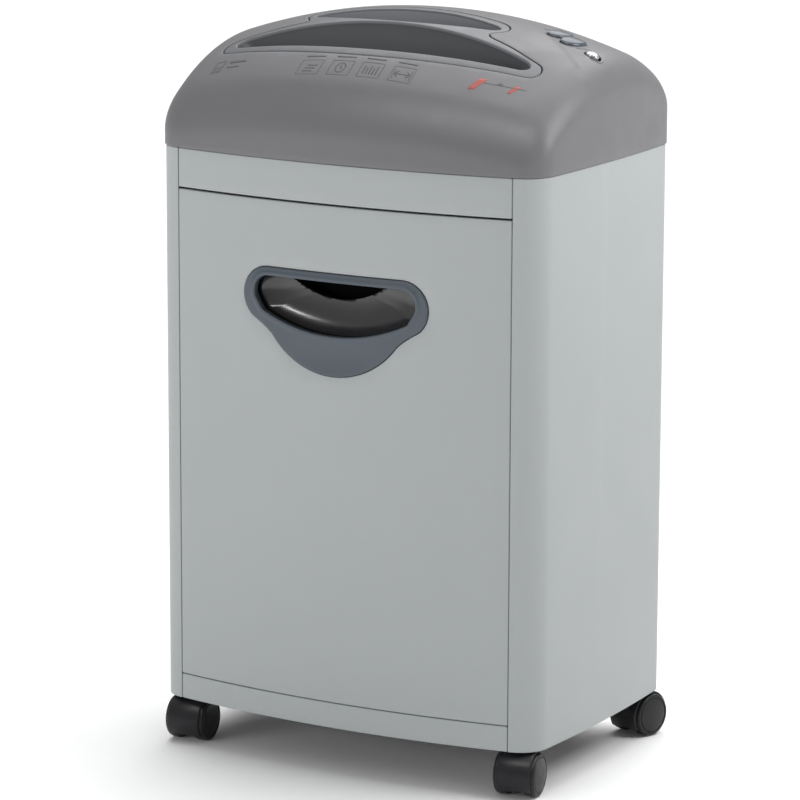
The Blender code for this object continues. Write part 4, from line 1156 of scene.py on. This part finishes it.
def extruded(outline, low, high):
    """A closed outline raised between two heights, with flat ends."""
    bm = bmesh.new()
    rows = []
    for z in (low, high):
        rows.append([bm.verts.new(at(x, y, z)) for x, y in outline])
    bridge(bm, *rows)
    bm.faces.new(rows[0])
    bm.faces.new(rows[1])
    bmesh.ops.recalc_face_normals(bm, faces=bm.faces)
    return bm


def make_side_panel(name, side):
    """A sheet that wraps from the front seam round both corners to the back seam."""
    skin = 2.0
    outer = plan_half(0.0, SEAM_X, 4, 1)
    inner = plan_half(skin, SEAM_X, 4, 1)
    outline = [(side * x, y) for x, y in outer + inner[::-1]]
    bm = extruded(outline, PANEL_LOW.z, PANEL_HIGH.z)
    panel = piece(name + "_skin", bm, "cabinet_paint", "cabinet", (name,), 30.0)
    return soften(panel, 0.55, 3)


def rounded_rectangle(x0, z0, x1, z1, radius, step):
    right, left, high, low = x1 - radius, x0 + radius, z1 - radius, z0 + radius
    points = []
    for n, (x, z) in enumerate(((right, high), (left, high), (left, low), (right, low))):
        points += arc(x, z, radius, 90.0 * n, 90.0 * (n + 1), 4)
    return even(points, step)


def front_point(x, z, drop):
    return at(x, front_y(x) + drop, z)


def front_panel(name, low, high, holes, replaces, body, returns):
    """A bowed panel: its face, rolled edges and the flange behind them."""
    roll = sizes().seam_roll / MM
    outline = rounded_rectangle(-DOOR_HALF, low, DOOR_HALF, high, 1.2, 9.0)
    bm, rim, openings = sheet(rolled(outline, roll, False, 4), holes, 14.0, front_point)
    walls(bm, rim, [[front_point(x, z, roll + depth) for x, z in outline] for depth in (2.0, returns)])
    for row, hole in zip(openings, holes):
        walls(bm, row, [[front_point(x, z, hole[0][1] + 2.0) for x, z in hole[0][0]]])
    outwards(bm, Vector((0.0, -1.0, 0.0)))
    panel = piece(name, bm, "cabinet_paint", body, replaces, 50.0)
    return thicken(panel, 1.2 * MM)


def make_front_panels():
    front_panel("front_strip_skin", STRIP_LOW.z, STRIP_HIGH.z, [], ("front_strip",), "cabinet", 14.0)
    front_panel("plinth_skin", PLINTH_LOW.z, PLINTH_HIGH.z, [], ("plinth_strip",), "cabinet", 10.0)
    hole = rolled(grown(bezel_outline(), 0.4), 0.6, True, 2)
    front_panel("bin_door", DOOR_LOW.z, DOOR_HIGH.z, [hole], ("bin_front",), "bin", 12.0)
    for side, label in ((-1.0, "left"), (1.0, "right")):
        bm = bmesh.new()
        low = at(side * (DOOR_HALF - 1.9), -106.0, DOOR_LOW.z + 4.0)
        high = at(side * (DOOR_HALF - 0.3), -60.5, DOOR_HIGH.z - 4.0)
        box_between(bm, low, high)
        bmesh.ops.recalc_face_normals(bm, faces=bm.faces)
        soften(piece(f"bin_return_{label}", bm, "cabinet_paint", "bin"), 0.4, 2)


def screw_head(bm, matrix, radius):
    """A pan-head screw, its top along local Z."""
    dome = [(0.0, 1.5), (0.5, 1.4), (0.86, 1.0), (1.0, 0.3), (1.0, -0.4), (0.0, -0.4)]
    turned(bm, [(share * radius, z) for share, z in dome], 24, matrix)


def make_back():
    """The flat back with rolled edges, and its screws."""
    roll = sizes().seam_roll / MM
    outline = rounded_rectangle(BACK_LOW.x, BACK_LOW.z, BACK_HIGH.x, BACK_HIGH.z, 1.2, 10.0)

    def surface(x, z, drop):
        return at(x, HALF_DEPTH - drop, z)

    bm, rim, _ = sheet(rolled(outline, roll, False, 4), [], 16.0, surface)
    walls(bm, rim, [[surface(x, z, roll + 6.0) for x, z in outline]])
    outwards(bm, Vector((0.0, 1.0, 0.0)))
    thicken(piece("back_panel_skin", bm, "cabinet_paint", "cabinet", ("back_panel",), 50.0), 1.2 * MM)
    turn = Matrix.Rotation(-math.pi / 2.0, 4, "X")
    screws = bmesh.new()
    for x in (-138.0, 0.0, 138.0):
        for z in (52.0, 262.0, 474.0):
            screw_head(screws, Matrix.Translation(at(x, HALF_DEPTH, z)) @ turn, 3.6)
    bmesh.ops.recalc_face_normals(screws, faces=screws.faces)
    piece("back_screws", screws, "zinc_plate", "cabinet", (), 35.0)


# Bin and handle

FRAME_PROUD = 1.2
FRAME_LIP = 0.5
BOWL_MIDDLE = 392.5
BOWL_DEPTH = 19.0
BOWL_RIM = 4.2
BOWL_EASE = 0.62
BOWL_ROWS = 28
# rows of the bowl next to its rim that take the near-black pocket finish: painted shade for the shadowed gap
# between frame and bowl
BOWL_SHADE_ROWS = 4
POCKET_BACK = -83.0


def handle_relief(x, z):
    """How far the handle's frame is dished, in its lobe below the mouth."""
    share = max(0.0, 1.0 - (x / 46.0) ** 2 - ((z - 338.0) / 17.0) ** 2)
    return 1.3 * share ** 1.5


def make_handle_frame():
    proud, lip = FRAME_PROUD, FRAME_LIP
    outer, mouth = bezel_outline(), mouth_outline()
    lip_rings = [(outline, drop - lip) for outline, drop in rolled(mouth, 1.3, True, 5)]
    lip_rings += [(grown(mouth, 3.0), -lip), (grown(mouth, 3.4), -0.6 * lip), (grown(mouth, 3.8), 0.0)]
    holes = [lip_rings]

    def surface(x, z, drop):
        return at(x, front_y(x) - proud + drop + handle_relief(x, z), z)

    bm, rim, openings = sheet(rolled(outer, 1.3, False, 5), holes, 2.6, surface)
    walls(bm, rim, [[at(x, front_y(x) + depth, z) for x, z in outer] for depth in (1.2, 3.0)])
    walls(bm, openings[0], [[at(x, front_y(x) + depth, z) for x, z in mouth] for depth in (2.6, 4.0)])
    outwards(bm, Vector((0.0, -1.0, 0.0)))
    bezel = piece("handle_frame", bm, "blue_grey_plastic", "bin", ("handle_bezel",), 50.0)
    return thicken(bezel, 1.4 * MM)


def bowl_back(x, z, mouth):
    """How far behind its rim the bowl's surface lies at a point."""
    ray = Vector((x, z - BOWL_MIDDLE))
    if ray.length < 1e-6:
        return BOWL_DEPTH
    share = 1.0
    for (ax, az), (bx, bz) in zip(mouth, mouth[1:] + mouth[:1]):
        ex, ez = bx - ax, bz - az
        base = ray.x * ez - ray.y * ex
        if abs(base) < 1e-9:
            continue
        t = (ax * ez - (az - BOWL_MIDDLE) * ex) / base
        u = (ax * ray.y - (az - BOWL_MIDDLE) * ray.x) / base
        if t > 0.0 and -1e-6 <= u <= 1.0 + 1e-6:
            share = min(1.0, 1.0 / t)
    return BOWL_DEPTH * math.sqrt(max(0.0, 1.0 - share ** (2.0 / BOWL_EASE)))


def bowl_shell(mouth):
    """The bowl's skin: rings of the mouth's outline that shrink as they go back."""
    bm = bmesh.new()
    rows = []
    for k in range(BOWL_ROWS):
        share = 1.0 - (k / BOWL_ROWS) ** 2
        back = BOWL_RIM + BOWL_DEPTH * math.sqrt(1.0 - share ** (2.0 / BOWL_EASE))
        ring = [(x * share, BOWL_MIDDLE + (z - BOWL_MIDDLE) * share) for x, z in mouth]
        rows.append([bm.verts.new(at(x, front_y(x) + back, z)) for x, z in ring])
    for a, b in zip(rows, rows[1:]):
        bridge(bm, a, b)
        # the outer rows take the near-black pocket finish as painted shade
        if a is rows[BOWL_SHADE_ROWS - 1]:
            for face in bm.faces:
                face.material_index = 1
    tip = bm.verts.new(at(0.0, front_y(0.0) + BOWL_RIM + BOWL_DEPTH, BOWL_MIDDLE))
    for k, vert in enumerate(rows[-1]):
        bm.faces.new((vert, rows[-1][(k + 1) % len(mouth)], tip))
    outwards(bm, Vector((0.0, -1.0, 0.0)))
    return bm


def make_handle_bowl():
    """A polished bowl behind the mouth, with a finger pocket behind the top rail; the pocket, its cut faces and
    the bowl's outer rows wear a near-black finish as painted shade.
    """
    mouth = grown(mouth_outline(1.6), 1.2)
    bowl = piece("handle_bowl_shell", bowl_shell(mouth), "gloss_black", "bin", ("handle_bowl",), 60.0)
    # the bowl's second finish is the near-black pocket finish, painted shade
    bowl.data.materials.append(finish_for("pocket"))
    settle(thicken(bowl, 1.6 * MM))
    pocket = arc(-7.0, 448.5, 70.0, -131.0, -49.0, 30) + [(37.0, 408.0), (-51.0, 408.0)]
    prism = bmesh.new()
    near = [prism.verts.new(at(x, -119.0, z)) for x, z in pocket]
    far = [prism.verts.new(at(x, -70.0, z)) for x, z in pocket]
    bridge(prism, near, far)
    prism.faces.new(near)
    prism.faces.new(far)
    # the cut faces take the near-black finish: painted shade
    for face in prism.faces:
        face.material_index = 1
    cut(bowl, tool("pocket_tool", prism))
    # the pocket's cup, in the near-black finish as painted shade
    cup = bmesh.new()
    outline = grown(anticlockwise(even(pocket, 2.0)), 0.25)
    near = [at(x, front_y(x) + BOWL_RIM + 0.9 + bowl_back(x, z, mouth), z) for x, z in outline]
    far = [at(x, POCKET_BACK, z) for x, z in outline]
    row = walls(cup, [cup.verts.new(p) for p in near], [far])
    cup.faces.new(row)
    outwards(cup, Vector((0.0, -1.0, 0.0)))
    thicken(piece("finger_pocket", cup, "gloss_black", "bin", (), 30.0, "pocket"), 0.8 * MM)


def make_tub():
    """The moulded bin: rounded corners, a turned rim and a raised floor."""
    bm = bmesh.new()
    low, high = TUB_LOW, TUB_HIGH
    cy = (low.y + high.y) / 2.0 - MID_Y
    hx, hy = (high.x - low.x) / 2.0, (high.y - low.y) / 2.0
    wall = 2.0

    def ring(inset, z, radius):
        x1, y1 = hx - inset, hy - inset
        points = []
        for sx, sy, start in ((1, 1, 0.0), (-1, 1, 90.0), (-1, -1, 180.0), (1, -1, 270.0)):
            points += arc(sx * (x1 - radius), cy + sy * (y1 - radius), radius, start, start + 90.0, 8)
        return [bm.verts.new(at(x, y, z)) for x, y in points]

    rows = [ring(9.0, low.z, 14.0), ring(5.6, low.z + 0.8, 14.0), ring(3.4, low.z + 4.0, 14.0)]
    rise = high.z - low.z - 16.0
    rows += [ring(3.0 - 2.0 * k / 6.0, low.z + 8.0 + rise * k / 6.0, 14.0) for k in range(7)]
    rows += [ring(0.9, high.z - 7.0, 14.0), ring(0.0, high.z - 6.4, 14.0), ring(0.0, high.z - 0.8, 14.0)]
    rows += [ring(0.6, high.z, 14.0), ring(2.2, high.z, 13.0), ring(wall + 1.2, high.z - 0.8, 13.0)]
    rows += [ring(wall + 1.2, high.z - 7.0, 13.0), ring(wall + 3.4, low.z + 8.0, 12.0)]
    rows += [ring(wall + 5.0, low.z + wall + 1.0, 12.0), ring(wall + 9.0, low.z + wall, 12.0)]
    for a, b in zip(rows, rows[1:]):
        bridge(bm, a, b)
    bm.faces.new(rows[0])
    bm.faces.new(rows[-1])
    bmesh.ops.recalc_face_normals(bm, faces=bm.faces)
    return piece("bin_tub_shell", bm, "black_plastic", "bin", ("bin_tub",), 40.0, "bin_plastic")


# Casters

def caster_places():
    """Each caster's name, and the matrix whose local X is its axle, from its wheel joint in the frame."""
    found = {}
    for joint in frame["joints"]:
        if joint["name"].startswith("wheel_turn_"):
            name, side = joint["name"][len("wheel_turn_"):].rsplit("_", 1)
            axis = Vector(joint["axis"])
            found.setdefault(name, {})[side] = (Vector(joint["pos_m"]), axis)
    places = {}
    for name, wheels in found.items():
        middle = (wheels["left"][0] + wheels["right"][0]) / 2.0
        axis = wheels["right"][1]
        turn = Matrix.Rotation(math.atan2(axis.y, axis.x), 4, "Z")
        places[name] = Matrix.Translation(middle) @ turn
    return places


AXLE_UP = Matrix.Rotation(math.pi / 2.0, 4, "Y")


def swept_hood(bm, place):
    """The shroud: a rounded section swept round the axle, open below."""
    half, r = HOOD_HALF, HOOD_RADIUS
    section = [(-half, r - 1.7), (-half, r - 1.0), (-half + 0.4, r - 0.35), (-half + 1.1, r)]
    section += [(half - 1.1, r), (half - 0.4, r - 0.35), (half, r - 1.0), (half, r - 1.7)]
    rows = []
    for k in range(HOOD_STEPS + 1):
        t = math.radians(HOOD_START + HOOD_SWEEP * k / HOOD_STEPS)
        row = []
        for x, radius in section:
            row.append(bm.verts.new(place @ (Vector((x, -radius * math.cos(t), radius * math.sin(t))) * MM)))
        rows.append(row)
    for a, b in zip(rows, rows[1:]):
        bridge(bm, a, b)
    bm.faces.new(rows[0])
    bm.faces.new(rows[-1])


def make_caster(name, place):
    """Hood, web, axle and stem in black nylon, and two wheels with grooved caps."""
    hood = bmesh.new()
    swept_hood(hood, place)
    turned(hood, WEB_PROFILE, 40, place @ AXLE_UP)
    turned(hood, AXLE_PROFILE, 20, place @ AXLE_UP)
    joint = next(j for j in frame["joints"] if j["name"] == "caster_swivel_" + name)
    x, y, _ = joint["pos_m"]
    stem_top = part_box("caster_hood_" + name)[1].z / MM
    stem = [(0.0, stem_top), (3.4, stem_top), (4.0, stem_top - 0.8)] + STEM_PROFILE
    turned(hood, stem, 28, Matrix.Translation((x, y, 0.0)))
    bmesh.ops.recalc_face_normals(hood, faces=hood.faces)
    node = "caster_hood_" + name
    piece("caster_hood_shell_" + name, hood, "black_plastic", "caster_" + name, (node,), 40.0)
    for side, turn in (("right", 0.0), ("left", math.pi)):
        wheel = bmesh.new()
        turned(wheel, WHEEL_PROFILE, 64, place @ Matrix.Rotation(turn, 4, "Z") @ AXLE_UP)
        bmesh.ops.recalc_face_normals(wheel, faces=wheel.faces)
        node = f"caster_wheel_{name}_{side}"
        piece(node + "_round", wheel, "black_plastic", f"wheel_{name}_{side}", (node,), 32.0)


# Cutter

def cutter_outline(teeth, phase):
    """A cutting disc: hooked teeth, each drawn by its share of a turn and its depth below the tips."""
    points = []
    for k in range(teeth):
        start = phase + 2.0 * math.pi * k / teeth
        for share, depth in TOOTH:
            t = start + 2.0 * math.pi * share / teeth
            reach = CUTTER_RADIUS - depth
            points.append((reach * math.cos(t), reach * math.sin(t)))
    return points


def make_cutter(node, body):
    """A round core with pairs of toothed discs that stagger round the shaft."""
    low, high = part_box(node)
    y, z = (low.y + high.y) / 2.0, (low.z + high.z) / 2.0
    phase = -1.0 if body == "front_cutter" else 1.0
    axis = Matrix.Translation((0.0, y, z)) @ AXLE_UP
    bm = bmesh.new()
    ends = low.x / MM, high.x / MM
    core = [(0.0, ends[1]), (6.6, ends[1]), (7.0, ends[1] - 0.6), (7.0, 109.0), (10.4, 108.6), (10.4, -108.6)]
    core += [(7.0, -109.0), (7.0, ends[0] + 0.6), (6.6, ends[0]), (0.0, ends[0])]
    turned(bm, core, 24, axis)
    first = CUTTER_PITCH * (CUTTER_COUNT - 1) / 2.0 + phase * CUTTER_PITCH / 4.0
    for k in range(CUTTER_COUNT * 2):
        middle = first - CUTTER_PITCH * (k // 2) + (2.0 if k % 2 == 0 else -2.0)
        outline = cutter_outline(sizes().cutter_teeth, phase * 0.24 * k)
        rows = []
        for offset in (-CUTTER_HALF, CUTTER_HALF):
            rows.append([bm.verts.new(axis @ (Vector((u, v, middle + offset)) * MM)) for u, v in outline])
        bridge(bm, *rows)
        bm.faces.new(rows[0])
        bm.faces.new(rows[1])
    bmesh.ops.recalc_face_normals(bm, faces=bm.faces)
    piece(node + "_toothed", bm, "steel", body, (node,), 25.0)


def finish_frame_parts():
    """Finishes on the frame's own parts that stay."""
    slots = {row["node"]: row["material_slot"] for row in frame["record"]["subparts"]}
    for name, node in frame["nodes"].items():
        if node.hide_render:
            continue
        node.data.materials.clear()
        node.data.materials.append(finish_for(slots[name]))


# Stage: the camera's target is in the cabinet's plan, other places are in metres, and angles in degrees

WORLD_LIGHT = 0.42
SUN_LIGHT, SUN_ANGLE, SUN_WAY = 2.65, 70.0, Vector((0.08, -0.48, -0.85))
CAMERA_AZIMUTH, CAMERA_ELEVATION, CAMERA_ROLL = 29.97, 12.06, 0.2034
CAMERA_DISTANCE = 3.3797
CAMERA_TARGET = (-8.63, 0.0, 280.36)
CAMERA_LENS = 188.95


def area_light(name, location, target, size, power):
    data = bpy.data.lights.new(name, "AREA")
    data.shape = "RECTANGLE"
    data.size, data.size_y = size
    data.energy = power
    light = bpy.data.objects.new(name, data)
    bpy.context.scene.collection.objects.link(light)
    light.location = location
    light.rotation_mode = "QUATERNION"
    light.rotation_quaternion = (Vector(target) - Vector(location)).to_track_quat("-Z", "Y")
    return light


def make_stage():
    scene = bpy.context.scene
    scene.view_settings.view_transform = "Standard"
    world = bpy.data.worlds.new("studio")
    scene.world = world
    world.use_nodes = True
    sky = world.node_tree.nodes["Background"]
    sky.inputs["Color"].default_value = (1.0, 1.0, 1.0, 1.0)
    sky.inputs["Strength"].default_value = WORLD_LIGHT

    bm = bmesh.new()
    bmesh.ops.create_grid(bm, x_segments=1, y_segments=1, size=20.0)
    mesh = bpy.data.meshes.new("floor")
    bm.to_mesh(mesh)
    bm.free()
    floor = bpy.data.objects.new("floor", mesh)
    scene.collection.objects.link(floor)
    finish = Finish("floor_paint", (0.96, 0.96, 0.96), 0.7, Specular_IOR_Level=0.2)
    finish.rough(finish.noise(3.0, 2.0), 0.65, 0.8)
    mesh.materials.append(finish.material)

    area_light("right_softbox", (0.8, 0.15, 0.85), (0.15, 0.0, 0.55), (0.4, 0.4), 4.2)
    front = area_light("front_softbox", (-1.1, -2.4, 0.6), (0.0, 0.0, 0.35), (1.6, 0.9), 23.0)
    front.visible_glossy = False
    glint = area_light("glint_strip", (0.25, -1.3, 2.1), (-0.03, -0.1, 0.39), (2.2, 0.16), 26.0)
    glint.visible_diffuse = False
    sun = bpy.data.lights.new("overhead", "SUN")
    sun.energy = SUN_LIGHT
    sun.angle = math.radians(SUN_ANGLE)
    overhead = bpy.data.objects.new("overhead", sun)
    scene.collection.objects.link(overhead)
    overhead.rotation_mode = "QUATERNION"
    overhead.rotation_quaternion = SUN_WAY.to_track_quat("-Z", "Y")

    azimuth, elevation = math.radians(CAMERA_AZIMUTH), math.radians(CAMERA_ELEVATION)
    level = Vector((math.sin(azimuth), -math.cos(azimuth), 0.0)) * math.cos(elevation)
    back = level + Vector((0.0, 0.0, math.sin(elevation)))
    data = bpy.data.cameras.new("camera")
    data.sensor_width = 36.0
    data.lens = CAMERA_LENS
    data.clip_end = 100.0
    camera = bpy.data.objects.new("camera", data)
    scene.collection.objects.link(camera)
    camera.location = at(*CAMERA_TARGET) + back * CAMERA_DISTANCE
    camera.rotation_mode = "QUATERNION"
    roll = Matrix.Rotation(math.radians(CAMERA_ROLL), 3, "Z").to_quaternion()
    camera.rotation_quaternion = (-back).to_track_quat("-Z", "Y") @ roll
    scene.camera = camera


# Operators

class SHREDDER_OT_head(bpy.types.Operator):
    """Build the domed head cover and the throat insert"""

    bl_idname = "shredder.head"
    bl_label = "Head and Throats"

    def execute(self, context):
        make_head_cover()
        make_throat_insert()
        return {"FINISHED"}


class SHREDDER_OT_controls(bpy.types.Operator):
    """Build the leaf buttons and the lamp"""

    bl_idname = "shredder.controls"
    bl_label = "Buttons and Lamp"

    def execute(self, context):
        for name in LEAVES:
            make_button(name)
        make_lamp()
        return {"FINISHED"}


class SHREDDER_OT_marks(bpy.types.Operator):
    """Print the plain signs on the head"""

    bl_idname = "shredder.marks"
    bl_label = "Printed Marks"

    def execute(self, context):
        make_pictograms()
        make_head_mark()
        make_width_marks()
        make_control_marks()
        return {"FINISHED"}


class SHREDDER_OT_panels(bpy.types.Operator):
    """Build the cabinet's painted panels and the bin's door"""

    bl_idname = "shredder.panels"
    bl_label = "Panels and Door"

    def execute(self, context):
        make_side_panel("left_panel", -1.0)
        make_side_panel("right_panel", 1.0)
        make_front_panels()
        make_back()
        return {"FINISHED"}


class SHREDDER_OT_bin(bpy.types.Operator):
    """Build the bin's tub and its handle"""

    bl_idname = "shredder.bin"
    bl_label = "Bin and Handle"

    def execute(self, context):
        make_handle_frame()
        make_handle_bowl()
        make_tub()
        return {"FINISHED"}


class SHREDDER_OT_casters(bpy.types.Operator):
    """Build the four twin-wheel casters"""

    bl_idname = "shredder.casters"
    bl_label = "Casters"

    def execute(self, context):
        for name, place in caster_places().items():
            make_caster(name, place)
        return {"FINISHED"}


class SHREDDER_OT_cutters(bpy.types.Operator):
    """Build the toothed cutter shafts"""

    bl_idname = "shredder.cutters"
    bl_label = "Cutters"

    def execute(self, context):
        make_cutter("front_cutter_shaft", "front_cutter")
        make_cutter("rear_cutter_shaft", "rear_cutter")
        return {"FINISHED"}


class SHREDDER_OT_finishes(bpy.types.Operator):
    """Give the frame's remaining parts their finishes"""

    bl_idname = "shredder.finishes"
    bl_label = "Finishes"

    def execute(self, context):
        finish_frame_parts()
        return {"FINISHED"}


class SHREDDER_OT_stage(bpy.types.Operator):
    """Set up the floor, the lights and the camera"""

    bl_idname = "shredder.stage"
    bl_label = "Stage"

    def execute(self, context):
        make_stage()
        return {"FINISHED"}


STEPS = (
    SHREDDER_OT_head,
    SHREDDER_OT_controls,
    SHREDDER_OT_marks,
    SHREDDER_OT_panels,
    SHREDDER_OT_bin,
    SHREDDER_OT_casters,
    SHREDDER_OT_cutters,
    SHREDDER_OT_finishes,
    SHREDDER_OT_stage,
)


class SHREDDER_PT_panel(bpy.types.Panel):
    """Lists the shredder's build steps, sizes and colours"""

    bl_label = "Paper Shredder"
    bl_idname = "SHREDDER_PT_panel"
    bl_space_type = "VIEW_3D"
    bl_region_type = "UI"
    bl_category = "Shredder"

    def draw(self, context):
        layout = self.layout
        for group in (context.scene.shredder_sizes, context.scene.shredder_colours):
            box = layout.box()
            for name in group.__annotations__:
                box.prop(group, name)
        for step in STEPS:
            layout.operator(step.bl_idname)


CLASSES = (ShredderSizes, ShredderColours, *STEPS, SHREDDER_PT_panel)


def register():
    for cls in CLASSES:
        bpy.utils.register_class(cls)
    bpy.types.Scene.shredder_sizes = PointerProperty(type=ShredderSizes)
    bpy.types.Scene.shredder_colours = PointerProperty(type=ShredderColours)


def unregister():
    del bpy.types.Scene.shredder_colours
    del bpy.types.Scene.shredder_sizes
    for cls in reversed(CLASSES):
        bpy.utils.unregister_class(cls)


def main():
    register()
    bpy.ops.shredder.head()
    bpy.ops.shredder.controls()
    bpy.ops.shredder.marks()
    bpy.ops.shredder.panels()
    bpy.ops.shredder.bin()
    bpy.ops.shredder.casters()
    bpy.ops.shredder.cutters()
    bpy.ops.shredder.finishes()
    bpy.ops.shredder.stage()


if __name__ == "__main__":
    main()
